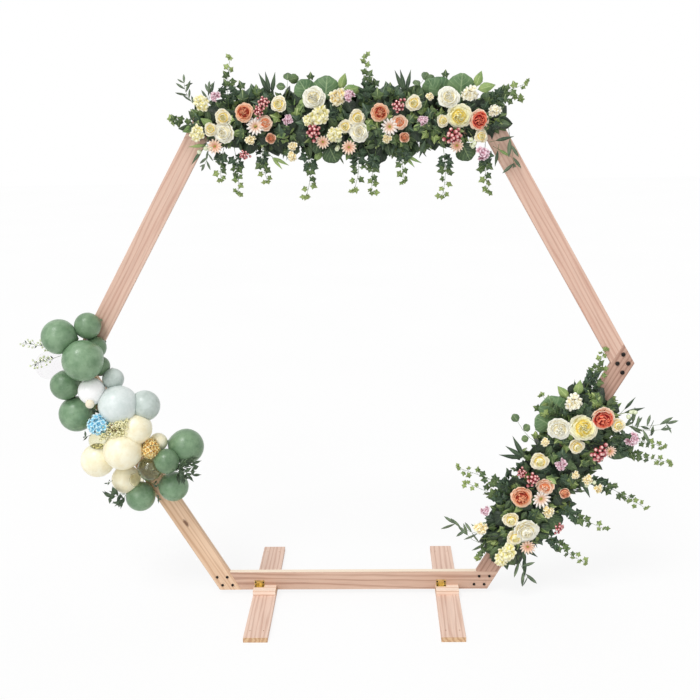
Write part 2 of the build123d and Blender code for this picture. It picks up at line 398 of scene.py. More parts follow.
def edit_all():
    """Goes to edit mode with everything chosen."""
    bpy.ops.object.mode_set(mode="EDIT")
    bpy.ops.mesh.select_all(action="SELECT")


def leave_edit():
    """Goes back to object mode."""
    bpy.ops.object.mode_set(mode="OBJECT")


def pick(piece, test, kind="VERT"):
    """Chooses the corners or faces whose place passes the test, and goes to edit mode."""
    bpy.ops.object.mode_set(mode="EDIT")
    bpy.ops.mesh.select_mode(type=kind)
    bpy.ops.mesh.select_all(action="DESELECT")
    leave_edit()
    found = piece.data.vertices if kind == "VERT" else piece.data.polygons
    for part in found:
        part.select = bool(test(part.co if kind == "VERT" else part.center))
    bpy.ops.object.mode_set(mode="EDIT")


def shift(piece, test, by):
    """Moves the corners that pass the test."""
    pick(piece, test)
    bpy.ops.transform.translate(value=by)
    leave_edit()


def grow(piece, test, by):
    """Scales the corners that pass the test about the origin."""
    pick(piece, test)
    bpy.ops.transform.resize(value=by, center_override=(0, 0, 0))
    leave_edit()


def ruffle(piece, height, offset, seed):
    """Moves the corners above a height a little, by chance."""
    pick(piece, lambda place: place.z > height)
    bpy.ops.transform.vertex_random(offset=offset, seed=seed)
    leave_edit()


def modify(piece, kind, **settings):
    """Changes a piece by a modifier, which is applied at once."""
    choose(piece)
    step = piece.modifiers.new("step", kind)
    for key, value in settings.items():
        setattr(step, key, value)
    bpy.ops.object.modifier_apply(modifier=step.name)


def thicken(piece, thickness, offset=0):
    """Gives a sheet its thickness, about its middle or, with an offset of -1, inwards."""
    modify(piece, "SOLIDIFY", thickness=thickness, offset=offset)


def cut_away(piece, tool):
    """Cuts the tool's shape out of a piece."""
    modify(piece, "BOOLEAN", operation="DIFFERENCE", object=tool)


def coat(piece, material):
    """Gives a piece one material."""
    piece.data.materials.clear()
    piece.data.materials.append(material)


def finish_mesh(piece, material, thickness=0.0):
    """Merges doubles, turns the faces outwards, gives a sheet its thickness and a material."""
    edit_all()
    bpy.ops.mesh.remove_doubles(threshold=0.00001)
    bpy.ops.mesh.normals_make_consistent(inside=False)
    leave_edit()
    if thickness:
        thicken(piece, thickness)
    bpy.ops.object.shade_smooth()
    coat(piece, material)
    return piece


def put_away(*patterns):
    """Removes pattern pieces once their copies are made."""
    for pattern in patterns:
        bpy.data.objects.remove(pattern, do_unlink=True)


def copy_at(pattern, place, material=None):
    """A copy of a pattern piece with its own mesh, at a place."""
    copy = bpy.data.objects.new(pattern.name, pattern.data.copy())
    bpy.context.collection.objects.link(copy)
    copy.matrix_world = place
    if material:
        coat(copy, material)
    return copy


def join(name, parts):
    """Joins parts to one piece whose object sits at the origin, unturned and unscaled."""
    bpy.ops.object.select_all(action="DESELECT")
    for part in parts:
        part.select_set(True)
    bpy.context.view_layer.objects.active = parts[0]
    if len(parts) > 1:
        bpy.ops.object.join()
    bpy.ops.object.transform_apply(location=True, rotation=True, scale=True)
    joined = bpy.context.object
    joined.name = name
    joined.data.name = name
    return joined


def fit(piece, slot=None, *nodes):
    """Fixes a finished piece to the arch, in place of the CAD nodes that it stands for."""
    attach(piece, "root")
    if nodes:
        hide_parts(*nodes)


def moved(x, y, z):
    """A move by so much along X, Y and Z."""
    return Matrix.Translation((x, y, z))


def spun(angle, axis="Z"):
    """A turn about an axis."""
    return Matrix.Rotation(angle, 4, axis)


def sized(wide, deep=None, high=None):
    """A stretch, the same in all directions when only one is given."""
    return Matrix.Diagonal((wide, deep or wide, high or wide, 1))


def facing(origin, tip, face, size):
    """A place whose Y runs to the tip and whose Z is near the face direction."""
    up = tip.normalized()
    out = (face - up * face.dot(up)).normalized()
    turn = Matrix((up.cross(out), up, out)).transposed().to_4x4()
    return moved(*origin) @ turn @ sized(size)


def upright(way):
    """The turn that brings Z to a direction."""
    return way.to_track_quat("Z", "Y").to_matrix().to_4x4()


def looking(origin, face, spin, size):
    """A place whose Z looks along the face direction, spun about it."""
    return moved(*origin) @ upright(face.normalized()) @ spun(spin) @ sized(size)


def scatter(chance, reach):
    """Three numbers by chance, for a small move or lean."""
    return [chance.uniform(-reach, reach) for _ in range(3)]


# Leaves, modelled one unit long

silk_thickness = 0.012


def make_leaf(name, material, widths, fold, droop):
    """A leaf from stalk to tip: the width at each row, a fold along the midrib, a drooping tip."""
    rows = len(widths) - 1
    grid = bpy.ops.mesh.primitive_grid_add
    leaf = new_shape(grid, name, x_subdivisions=2, y_subdivisions=rows, size=1)
    shift(leaf, everywhere, (0, 0.5, 0))
    for row, width in enumerate(widths):
        height = row / rows
        at_row = lambda place, height=height: abs(place.y - height) < 0.3 / rows
        grow(leaf, at_row, (max(width, 0.0001), 1, 1))
        shift(leaf, at_row, (0, 0, -droop * height * height))
    shift(leaf, lambda place: abs(place.x) < 0.0005 and 0.01 < place.y < 0.99, (0, 0, -fold))
    return finish_mesh(leaf, material, silk_thickness)


def make_ivy_leaf(name, material):
    """A five-lobed ivy leaf from a round, its lobes pulled out and its notches pushed in."""
    circle = bpy.ops.mesh.primitive_circle_add
    leaf = new_shape(circle, name, vertices=20, radius=0.5, fill_type="TRIFAN")
    reaches = (1.28, 0.9, 0.72, 0.8, 1.04, 0.74, 0.6, 0.68, 0.82, 0.5, 0.16)
    for number, reach in enumerate(reaches):
        turn = number * 18
        at_lobe = (
            lambda place, turn=turn: place.xy.length > 0.2
            and abs(degrees(atan2(abs(place.x), place.y)) - turn) < 4
        )
        grow(leaf, at_lobe, (reach, reach, 1))
    shift(leaf, lambda place: place.xy.length > 0.44, (0, 0, -0.08))
    shift(leaf, lambda place: place.xy.length < 0.01, (0, 0, -0.06))
    shift(leaf, everywhere, (0, 0.06, 0))
    return finish_mesh(leaf, material, silk_thickness)


# Petals, modelled one unit high round a flower axis at the origin


def make_petal(name, wrap, crown, curl, reaches, wave):
    """A cupped petal: a sheet stood up, wrapped round the flower's axis, with a waved rim."""
    rows = len(reaches) - 1
    width = radians(wrap)
    sheet = {"x_subdivisions": 6, "y_subdivisions": rows, "size": 1, "rotation": (pi / 2, 0, 0)}
    petal = new_shape(bpy.ops.mesh.primitive_grid_add, name, **sheet)
    bpy.ops.object.transform_apply(location=False, rotation=True, scale=False)
    shift(petal, everywhere, (0, 0, 0.5))
    grow(petal, everywhere, (width, 1, 1))
    grow(petal, lambda place: place.z > 0.95, (crown, 1, 1))
    shift(petal, lambda place: place.z > 0.95 and abs(place.x) > 0.4 * width * crown, (0, 0, -0.13))
    shift(petal, lambda place: place.z > 0.95 and abs(place.x) < 0.05 * width, (0, 0, 0.04))
    modify(petal, "SIMPLE_DEFORM", deform_method="BEND", deform_axis="Z", angle=width)
    shift(petal, everywhere, (0, -1, 0))
    for row, reach in enumerate(reaches):
        low = (row - 0.5) / rows
        high = (row + 0.5) / rows
        grow(petal, lambda place, low=low, high=high: low < place.z <= high, (reach, reach, 1))
    ruffle(petal, 0.7, wave, 3)
    shift(petal, lambda place: place.z > 0.82, (0, 0, -curl))
    return finish_mesh(petal, None)


heart_wide = 0.66
heart_high = 0.70
golden_turn = 2.4


def make_heart():
    """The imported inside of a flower, as a dome that its petals rise from."""
    heart = new_ball("heart", 16, 10)
    grow(heart, everywhere, (heart_wide, heart_wide, heart_high))
    grow(heart, lambda place: place.z < -0.01, (0.8, 0.8, 0.1))
    return finish_mesh(heart, None)


def heart_height(reach):
    """How high the inside of a flower is at a distance from its axis."""
    return heart_high * sqrt(max(0.0, 1 - (reach / heart_wide) ** 2))


def petal_at(turn, radial, height, lean=0.0):
    """Where a petal stands round the flower's axis."""
    return spun(turn) @ spun(lean, "X") @ sized(radial, radial, height)


def make_rose(name, patterns, silks, count, ruffled, chance):
    """A rose or peony: petals in a spiral, closed or ruffled within and opened towards the rim."""
    heart, closed, opened = patterns
    deep, centre, middle, outer = silks
    inner_reach = 0.48
    parts = []
    for number in range(count):
        share = (number + 0.5) / count
        turn = number * golden_turn + chance.uniform(-0.35, 0.35)
        radial = 0.07 + 0.73 * share**0.85
        silk = centre if share < 0.36 else middle if share < 0.68 else outer
        if radial < inner_reach:
            height = heart_height(radial) + chance.uniform(0.16, 0.32)
            wide = radial * chance.uniform(0.82, 1.12)
            place = petal_at(turn, wide, height, chance.uniform(-0.08, 0.1))
            if ruffled:
                stand = moved(cos(turn) * radial * 0.85, sin(turn) * radial * 0.85, 0)
                spin = turn + chance.uniform(-1.5, 1.5)
                wide = chance.uniform(0.08, 0.17)
                place = stand @ petal_at(spin, wide, height, chance.uniform(-0.1, 0.1))
            parts.append(copy_at(closed, place, silk))
        else:
            fall = (radial - inner_reach) / 0.32
            height = (0.76 - 0.3 * fall) * chance.uniform(0.9, 1.08)
            lean = 0.03 + 0.2 * fall + chance.uniform(-0.09, 0.1)
            place = petal_at(turn, radial * chance.uniform(0.9, 1.08), height, lean)
            parts.append(copy_at(opened, place, silk))
    rose = join(name, parts)
    ruffle(rose, 0.2, 0.03, count)
    thicken(rose, 0.018)
    # The heart takes the deep silk, a darker colour that is partly the flower's own and partly painted
    # shade inside the flower.
    return join(name, [rose, copy_at(heart, Matrix(), deep)])


def make_bud(name, patterns, silks, sepal):
    """A bud that has just begun to open, in green sepals."""
    heart, closed, opened = patterns
    inner, middle, outer = silks
    petals = (
        (closed, inner, 0, 0.2, 1.2, 0.0), (closed, inner, 1, 0.38, 1.12, 0.0),
        (closed, middle, 0.4, 0.56, 1.0, 0.0), (opened, outer, 2, 0.62, 0.82, 0.1),
        (opened, sepal, 0, 0.62, 0.36, 0.0),
    )
    parts = []
    for number in range(4):
        for petal, silk, aside, radial, height, lean in petals:
            place = petal_at(2 * pi * number / 4 + aside, radial, height, lean)
            parts.append(copy_at(petal, place, silk))
    bud = join(name, parts)
    thicken(bud, 0.02)
    return join(name, [bud, copy_at(heart, sized(0.7, 0.7, 1.25), inner)])


def make_centre(name, material, flatness):
    """The pollen cushion of an open flower: a ball pressed flat with a dimple in its top."""
    centre = new_ball(name, 12, 8)
    grow(centre, everywhere, (1, 1, flatness))
    shift(centre, lambda place: place.z > flatness * 0.93, (0, 0, -flatness * 0.35))
    return finish_mesh(centre, material)


def make_daisy(name, ray, centre, silk):
    """A daisy with two rows of narrow rays."""
    parts = [copy_at(centre, moved(0, 0, 0.16) @ sized(0.24))]
    for row, (count, length, lift) in enumerate(((13, 0.98, 0.12), (11, 0.84, 0.2))):
        for number in range(count):
            turn = spun(2 * pi * (number + 0.5 * row) / count)
            raised = moved(0, 0.1, lift) @ spun(0.22 + 0.14 * row, "X")
            parts.append(copy_at(ray, turn @ raised @ sized(length), silk))
    return join(name, parts)


def make_blossom(name, lobe, centre, silk, lobes, lean):
    """A small open blossom."""
    parts = [copy_at(centre, moved(0, 0, 0.14) @ sized(0.17, 0.17, 0.2))]
    for number in range(lobes):
        lift = moved(0, 0.05, 0.05 + 0.02 * (number % 2))
        parts.append(copy_at(lobe, spun(2 * pi * number / lobes) @ lift @ spun(lean, "X"), silk))
    return join(name, parts)


def make_cluster(name, floret, silk, count, floret_size, chance):
    """A loose dome of small florets."""
    parts = []
    for number in range(count):
        turn = number * golden_turn
        reach = 0.56 * sqrt((number + 0.3) / count)
        top = Vector((cos(turn) * reach, sin(turn) * reach, 0.66 - 0.8 * reach * reach))
        top += Vector(scatter(chance, 0.07))
        face = top + Vector(scatter(chance, 0.4))
        size = floret_size * chance.uniform(0.85, 1.1)
        parts.append(copy_at(floret, looking(top, face, chance.uniform(0, 6), size), silk))
    return join(name, parts)


def make_stalk(name, material):
    """A stalk one unit long, thinner at its top."""
    stalk = new_cylinder(name, 5, 1, 0, 1)
    grow(stalk, lambda place: place.z > 0.9, (0.6, 0.6, 1))
    return finish_mesh(stalk, material)


def make_berry(name, material):
    """A berry with a small dimple at its tip."""
    berry = new_ball(name, 10, 8)
    grow(berry, everywhere, (1, 1, 1.08))
    shift(berry, lambda place: place.z > 1.05, (0, 0, -0.22))
    return finish_mesh(berry, material)


def stalk_between(stalk, start, end, radius, material=None):
    """A stalk from one point to another."""
    run = end - start
    place = moved(*start) @ upright(run) @ sized(radius, radius, run.length)
    return copy_at(stalk, place, material)


def make_berry_spray(name, berry, stalk, chance):
    """A longish spray of berries, each on its own stalk."""
    foot = Vector((0, 0, -0.2))
    count = 16
    parts = []
    for number in range(count):
        turn = number * golden_turn
        reach = 0.82 * sqrt((number + 0.4) / count)
        high = 0.95 - 0.6 * reach * reach + chance.uniform(-0.16, 0.12)
        top = Vector((cos(turn) * reach * 1.2, sin(turn) * reach * 0.86, high))
        top += Vector((chance.uniform(-0.1, 0.1), chance.uniform(-0.1, 0.1), 0))
        parts.append(stalk_between(stalk, foot, top, 0.03))
        parts.append(copy_at(berry, looking(top, top, 0, chance.uniform(0.19, 0.25))))
    return join(name, parts)


# Swags

front_reach = 66
back_reach = 42
front_share = 0.74
flower_share = 0.42
flower_depth = 22
leaf_foot = 25
stem_out = 34
stem_fall = 10
flower_out = 62
flower_tilt = 0.22
leaf_stalk_radius = 0.001
stem_radius = 0.0011
twig_radius = 0.0006


class Swag:
    """A swag's own frame: along its board, across it, and out to the front."""

    def __init__(self, name, middle, along, chance, ends=(0, 0), upper=(0, 0, 0), lower=(0, 0, 0)):
        """Upper and lower: how far the leaves reach, and how much less at the start and at the end."""
        self.name = name
        self.ends = ends
        self.upper = upper
        self.lower = lower
        self.middle = Vector(middle)
        self.along = Vector(along).normalized()
        self.front = Vector((0, -1, 0))
        self.across = self.front.cross(self.along)
        self.chance = Random(chance)

    def way(self, along, across, out):
        """A direction in the swag."""
        return self.along * along + self.across * across + self.front * out

    def point(self, along, across, out):
        """A place in the swag, given in millimetres."""
        return self.middle + self.way(along, across, out) * millimetre

    def finish(self, part, parts, slot, node):
        """Joins parts to one of its pieces, in place of one of its nodes."""
        fit(join(f"{self.name}_{part}", parts), slot, f"{self.name}_{node}")


def swag_cover(swag, patterns, kinds, count, clear_spots, sizes, layers, share_of_length=1.0):
    """Leaves tucked all round a swag, in layers, tips outwards, and sunk where a flower sits."""
    chance = swag.chance
    leaves = [patterns[kind] for kind in kinds]
    start, end = swag.ends
    parts = []
    for number in range(count):
        share = chance.uniform(-share_of_length, share_of_length)
        along = (start + end) / 2 + share * (end - start) / 2
        turn = chance.gauss(0, 1.15) if chance.random() < front_share else chance.uniform(1.8, 4.5)
        rise, outwards = sin(turn), cos(turn)
        reach, *thinning = swag.upper if rise > 0 else swag.lower
        taper = 1 - thinning[0 if share < 0 else 1] * abs(share) ** 3
        high = reach * taper * chance.uniform(0.84, 1.12)
        layer = chance.choice(layers)
        across = high * rise * layer
        out = (front_reach if outwards > 0 else back_reach) * outwards * layer
        under_flower = any(
            (along - u) ** 2 + (across - v) ** 2 < (size * flower_share) ** 2
            for u, v, size in clear_spots
        )
        if outwards > 0.2 and under_flower:
            out -= flower_depth
        normal = swag.way(0.25 * share, rise / max(high, 30) * 60, outwards)
        drift = 1.1 * share**3 + chance.uniform(-0.9, 0.9)
        spread = swag.way(drift, rise + chance.uniform(-0.75, 0.75), 0.0)
        tip = spread.normalized() + normal.normalized() * chance.uniform(0.05, 0.6)
        normal = normal.normalized() + swag.way(*scatter(chance, 0.45))
        size = chance.uniform(*sizes) * millimetre
        root = swag.point(along, across, out) - tip.normalized() * size * 0.45
        parts.append(copy_at(chance.choice(leaves), facing(root, tip, normal, size)))
    return parts


def placed_leaves(swag, patterns, places):
    """The large leaves that stand out: kind, root along and across, how far out, length and heading."""
    parts = []
    for kind, along, across, out, size, heading in places:
        angle = radians(heading)
        way = swag.way(cos(angle), sin(angle), swag.chance.uniform(-0.05, 0.25))
        face = swag.front + swag.way(*scatter(swag.chance, 0.3))
        root = swag.point(along, across, out)
        foot = root - way.normalized() * leaf_foot * millimetre
        parts.append(stalk_between(patterns["stalk"], foot, root, leaf_stalk_radius))
        parts.append(copy_at(patterns[kind], facing(root, way, face, size * millimetre)))
    return parts


def strand_points(swag, root, tip, bulge, aside, steps):
    """A stem from root to tip that bows to the front and aside."""
    points = []
    for step in range(steps + 1):
        share = step / steps
        bow = 4 * share * (1 - share)
        along = root[0] + (tip[0] - root[0]) * share + aside * bow
        across = root[1] + (tip[1] - root[1]) * share
        points.append(swag.point(along, across, stem_out + bulge * bow - stem_fall * share))
    return points


def strand(swag, patterns, kinds, root, tip, spacing, sizes, splay, petiole, start):
    """A stem with leaves on alternate sides, in pairs near its root, the last ones young."""
    chance = swag.chance
    stalk = patterns["stalk"]
    dark, old, young = [patterns[kind] for kind in kinds]
    length = sqrt((tip[0] - root[0]) ** 2 + (tip[1] - root[1]) ** 2)
    steps = max(4, int(length / spacing))
    points = strand_points(swag, root, tip, chance.uniform(8, 30), chance.uniform(-22, 22), steps)
    parts = []
    for step in range(steps):
        share = (step + 1) / steps
        here, there = points[step], points[step + 1]
        parts.append(stalk_between(stalk, here, there, stem_radius * (1.25 - 0.5 * share)))
        if share < start or (share > 0.5 and chance.random() < 0.06):
            continue
        run = (there - here).normalized()
        sides = (1, -1) if petiole > 5 and share < 0.52 else (1,) if step % 2 else (-1,)
        for sign in sides:
            side = run.cross(swag.front) * sign
            leaf = dark if share < 0.42 else old if share < 0.72 else young
            size = (sizes[0] + (sizes[1] - sizes[0]) * share) * chance.uniform(0.8, 1.15) * millimetre
            way = side * splay * chance.uniform(0.4, 1.4) + run * chance.uniform(-0.1, 1.2)
            way += swag.front * chance.uniform(-0.4, 0.6)
            face = swag.front + side * chance.uniform(-0.8, 0.8) + run * chance.uniform(-0.9, 0.6)
            foot = there + way.normalized() * petiole * chance.uniform(0.5, 1.4) * millimetre
            parts.append(stalk_between(stalk, there, foot, twig_radius))
            parts.append(copy_at(leaf, facing(foot, way, face, size)))
    way = (points[-1] - points[-2]).normalized()
    parts.append(copy_at(young, facing(points[-1], way, swag.front, sizes[1] * millimetre)))
    return parts


def plant_flowers(swag, flower, spots):
    """Flower heads that look to the front and a little aside, at their places in the photograph."""
    chance = swag.chance
    parts = []
    for along, across, size in spots:
        sideways = chance.uniform(-flower_tilt, flower_tilt)
        upwards = 0.0016 * across + chance.uniform(-flower_tilt, flower_tilt)
        face = swag.way(sideways, upwards, 1)
        root = swag.point(along, across, flower_out)
        spin = chance.uniform(0, 6.28)
        parts.append(copy_at(flower, looking(root, face, spin, size / 2 * millimetre)))
    return parts


# Bolts and screws


def bevel_end(piece, test, offset, segments=1, profile=0.5):
    """Rounds the edge round the faces that pass the test."""
    pick(piece, test, "FACE")
    bpy.ops.mesh.bevel(offset=offset, segments=segments, profile=profile)
    leave_edit()


def finish_metal(name, parts, steel):
    """Joins parts to one fastener with sharp edges and smooth rounds."""
    piece = join(name, parts)
    coat(piece, steel)
    bpy.ops.object.shade_smooth_by_angle(angle=radians(35))
    return piece


def make_bolt(name, steel, head_radius):
    """A button-head bolt with a hex socket, through the board, with its nut and washer behind."""
    head_height = head_radius * 0.62
    head_top = half_board + head_height
    head = new_cylinder("head", 20, head_radius, half_board, head_top)
    bevel_end(head, lambda middle: middle.z > head_top - head_height * 0.1, head_height * 0.85, 4, 0.6)
    half_depth = head_height / 2
    socket = new_cylinder("socket", 6, head_radius * 0.42, head_top - half_depth, head_top + half_depth)
    cut_away(head, socket)
    put_away(socket)
    washer_height = 0.0012
    nut_height = 0.005
    spare = 0.003
    shank_radius = 0.003
    washer_radius = 0.0078
    nut_radius = 0.0062
    washer_low = -half_board - washer_height
    nut_low = washer_low - nut_height
    rods = (
        (20, shank_radius, nut_low - spare, half_board + 0.001),
        (20, washer_radius, washer_low, -half_board),
        (6, nut_radius, nut_low, washer_low),
    )
    parts = [head]
    for corners, radius, bottom, top in rods:
        rod = new_cylinder("rod", corners, radius, bottom, top)
        bevel_end(rod, lambda middle, bottom=bottom: middle.z < bottom + 0.0001, radius * 0.12)
        parts.append(rod)
    return finish_metal(name, parts, steel)


def corner_bolts(corner):
    """Where the four bolts of a corner go, on lines parallel to the two outer edges."""
    angle = radians(corner)
    tip = Vector((side_length * cos(angle), 0, centre_height + side_length * sin(angle)))
    turns = [radians(corner + turn) for turn in (-30, 30)]
    first_way, second_way = [-Vector((cos(turn), 0, sin(turn))) for turn in turns]
    lines = (bolt_edge_distance, board_width - bolt_edge_distance)
    places = []
    for first in lines:
        for second in lines:
            run = first_way * (first - second / 2) / 0.75 + second_way * (second - first / 2) / 0.75
            places.append(tip + run)
    return places


def fasten_corners(steel):
    """The bolts of the six corners; the two side corners have larger heads."""
    wide = make_bolt("wide_bolt", steel, 0.0085)
    narrow = make_bolt("narrow_bolt", steel, 0.0058)
    corners = ("right", "top_right", "top_left", "left", "bottom_left", "bottom_right")
    for sixth, name in enumerate(corners):
        corner = 60 * sixth
        bolt = wide if name in ("left", "right") else narrow
        parts = []
        for number, place in enumerate(corner_bolts(corner)):
            turn = spun(pi / 2, "X") @ spun(0.9 * number + radians(corner))
            parts.append(copy_at(bolt, moved(*place) @ turn))
        fit(join(f"bolts_{name}", parts))
    put_away(wide, narrow)


def make_screw(name, steel):
    """A pan-head screw with a cross slot, its head seated at the origin."""
    head_height = 0.0018
    head = new_cylinder("head", 16, 0.0034, 0, head_height)
    bevel_end(head, lambda middle: middle.z > head_height - 0.0001, 0.001, 3, 0.6)
    cube = bpy.ops.mesh.primitive_cube_add
    for turn in (0, pi / 2):
        slot = new_shape(cube, "slot", (0, 0, head_height), size=1, rotation=(0, 0, turn))
        slot.scale = (0.0036, 0.0007, 0.0018)
        cut_away(head, slot)
        put_away(slot)
    thread = {"vertices": 12, "radius1": 0.0004, "radius2": 0.0017, "depth": 0.014}
    shank = new_shape(bpy.ops.mesh.primitive_cone_add, "shank", (0, 0, -0.007), **thread)
    return finish_metal(name, [head, shank], steel)


def fasten_brackets(steel):
    """Two screws in each leaf of the four corner brackets."""
    bracket_thickness = 0.0016
    screw_edge_distance = 0.008
    screw_spacing = 0.031
    screw = make_screw("screw", steel)
    for side in ("left", "right"):
        for row, sign in (("front", -1), ("rear", 1)):
            low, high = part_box(f"bracket_{side}_{row}")
            middle = (low[0] + high[0]) / 2
            edge = low[1] if sign < 0 else high[1]
            parts = []
            for aside in (-screw_spacing / 2, screw_spacing / 2):
                x = middle + aside
                foot = (x, edge - sign * screw_edge_distance, low[2] + bracket_thickness)
                wall = (x, sign * (half_board + bracket_thickness), high[2] - screw_edge_distance)
                parts.append(copy_at(screw, moved(*foot) @ spun(0.6 + aside * 40)))
                turn = spun(-sign * pi / 2, "X") @ spun(0.3)
                parts.append(copy_at(screw, moved(*wall) @ turn))
            fit(join(f"screws_{side}_{row}", parts))
    put_away(screw)


# Balloon garland: each balloon's centre from the left corner and its radius, in millimetres

balloon_groups = {
    "green_upper": [
        (3, -95, 149, 67), (105, -58, 182, 51), (95, -125, 63, 78), (124, -48, 94, 44),
        (138, -50, 20, 39), (-1, -60, -52, 58), (32, -50, -172, 70),
    ],
    "green_lower": [
        (453, -50, -311, 70), (389, -125, -344, 49), (259, -53, -519, 59), (396, -60, -475, 59),
    ],
    "blue": [(189, -65, -28, 42), (213, -110, -120, 77), (307, -78, -133, 60)],
    "cream": [
        (276, -116, -213, 63), (226, -140, -292, 76), (114, -100, -347, 66), (206, -50, -447, 57),
        (349, -72, -284, 36),
    ],
    "white": [(115, -110, -63, 52), (118, -156, -100, 17)],
    "clear": [
        (-64, -36, 22, 54), (124, -104, -264, 38), (319, -114, -378, 48), (262, -106, -428, 28),
    ],
}
blue_hydrangea = (144, -150, -186, 40)
orange_hydrangea = (328, -125, -292, 37)


def from_corner(along, out, up):
    """A place given in millimetres from the left corner."""
    return Vector((-side_length, 0, centre_height)) + Vector((along, out, up)) * millimetre


def make_balloon():
    """A blown balloon: a ball drawn out to a neck, with the rolled lip and knot at its end."""
    balloon = new_ball("balloon", 32, 20)
    for depth, inward, down in ((-0.55, 0.97, -0.015), (-0.8, 0.9, -0.03), (-0.95, 0.72, -0.05)):
        below = lambda place, depth=depth: place.z < depth
        grow(balloon, below, (inward, inward, 1))
        shift(balloon, below, (0, 0, down))
    lowest = min(corner.co.z for corner in balloon.data.vertices)
    pick(balloon, lambda middle: middle.z < lowest + 0.03, "FACE")
    for down, width in ((-0.05, 0.7), (-0.05, 1.5), (-0.03, 0.8)):
        bpy.ops.mesh.extrude_region_move(TRANSFORM_OT_translate={"value": (0, 0, down)})
        bpy.ops.transform.resize(value=(width, width, 0.4))
    leave_edit()
    return finish_mesh(balloon, None)


def board_cutter(direction):
    """A block as large as a board of the arch, to press the balloons against."""
    angle = radians(direction)
    play = 0.0006
    place = (cos(angle) * board_axis, 0, centre_height + sin(angle) * board_axis)
    cube = bpy.ops.mesh.primitive_cube_add
    cutter = new_shape(cube, "cutter", place, size=1, rotation=(0, -angle - pi / 2, 0))
    cutter.scale = (side_length, board_thickness + play, board_width + play)
    return cutter


def blow_balloon(pattern, ball, balls, cutters, skin, wall):
    """One balloon of the garland, pressed flat against its neighbours and round the boards."""
    gap = 0.0002
    spine_along = 170
    centre = from_corner(*ball[:3])
    radius = ball[3] * millimetre
    spine = from_corner(spine_along, 0, ball[2])
    away = Vector((centre.x - spine.x, -0.06, 0.02 * (radius * 1000 % 7 - 3)))
    balloon = copy_at(pattern, looking(centre, away, radius * 90, radius), skin)
    choose(balloon)
    bpy.ops.object.transform_apply(location=True, rotation=True, scale=True)
    for other in balls:
        way = from_corner(*other[:3]) - centre
        apart = way.length
        far = other[3] * millimetre
        if not 0 < apart < radius + far or far < 0.45 * radius:
            continue
        way = way.normalized()
        run = (apart**2 + radius**2 - far**2) / (2 * apart) - gap
        edit_all()
        bpy.ops.mesh.bisect(plane_co=centre + way * run, plane_no=way, use_fill=True, clear_outer=True)
        leave_edit()
    for cutter in cutters:
        cut_away(balloon, cutter)
    if wall:
        edit_all()
        bpy.ops.mesh.normals_make_consistent(inside=False)
        leave_edit()
        thicken(balloon, wall, -1)
    bpy.ops.object.shade_smooth_by_angle(angle=radians(40))
    return balloon


def balloon_skins():
    """The skin and wall of each balloon, by group; only the clear ones have a wall."""
    sage = balloon_skin("latex_sage", (134, 164, 130), (104, 136, 102))
    mid_sage = balloon_skin("latex_mid_sage", (126, 155, 121), (98, 128, 96))
    deep_sage = balloon_skin("latex_deep_sage", (116, 144, 110), (90, 119, 87))
    mist = balloon_skin("latex_mist", (224, 232, 230), (208, 219, 216))
    deep_mist = balloon_skin("latex_deep_mist", (202, 213, 208), (178, 191, 184))
    cream = balloon_skin("latex_cream", (253, 248, 222), (243, 232, 196))
    white = balloon_skin("latex_white", (255, 255, 255), (250, 250, 249))
    ivory = balloon_skin("latex_ivory", (244, 234, 212), (228, 212, 182))
    films = (
        clear_skin("clear_film", (254, 253, 254), 0.02, 1.025),
        clear_skin("olive_film", (246, 243, 222), 0.12, 1.1),
        clear_skin("khaki_film", (204, 214, 196), 0.05, 1.45),
        clear_skin("straw_film", (250, 247, 232), 0.1, 1.1),
    )
    film_wall = 0.0006
    return {
        "green_upper": ((sage, mid_sage, sage, deep_sage, deep_sage, mid_sage, sage), 0),
        "green_lower": ((mid_sage, deep_sage, sage, sage), 0),
        "blue": ((deep_mist, mist, deep_mist), 0),
        "cream": ((cream,) * 5, 0),
        "white": ((white, ivory), 0),
        "clear": (films, film_wall),
    }


def dress_garland():
    """All balloons, by colour."""
    skins = balloon_skins()
    pattern = make_balloon()
    cutters = [board_cutter(direction) for direction in (150, 210)]
    cutter_reach = 13
    balls = [ball for group in balloon_groups.values() for ball in group]
    balls += [blue_hydrangea, orange_hydrangea]
    for name, group in balloon_groups.items():
        group_skins, wall = skins[name]
        parts = []
        for ball, skin in zip(group, group_skins):
            near = cutters if -ball[1] - cutter_reach < ball[3] else ()
            parts.append(blow_balloon(pattern, ball, balls, near, skin, wall))
        slot = f"balloon_{name.split('_')[0]}"
        fit(join(f"balloons_{name}_skins", parts), slot, f"balloons_{name}")
    put_away(pattern, *cutters)


def hydrangea_head(name, floret, place, silk, slot, chance):
    """A ball of small four-petalled florets."""
    centre = from_corner(*place[:3])
    radius = place[3] * millimetre
    count = 62
    parts = []
    for number in range(count):
        height = 1 - 2 * (number + 0.5) / count
        turn = number * golden_turn
        flat = sqrt(1 - height * height)
        way = Vector((flat * cos(turn), height, flat * sin(turn)))
        if way.y > 0.75:
            continue
        root = centre + way * radius * chance.uniform(0.66, 0.9)
        lean = Vector(scatter(chance, 0.35))
        size = radius * chance.uniform(0.3, 0.4)
        parts.append(copy_at(floret, looking(root, way + lean, chance.uniform(0, 6), size), silk))
    fit(join(f"{name}_florets", parts), slot, name)


# Where the swags' flowers sit, as in the photograph: along, across and diameter, in millimetres

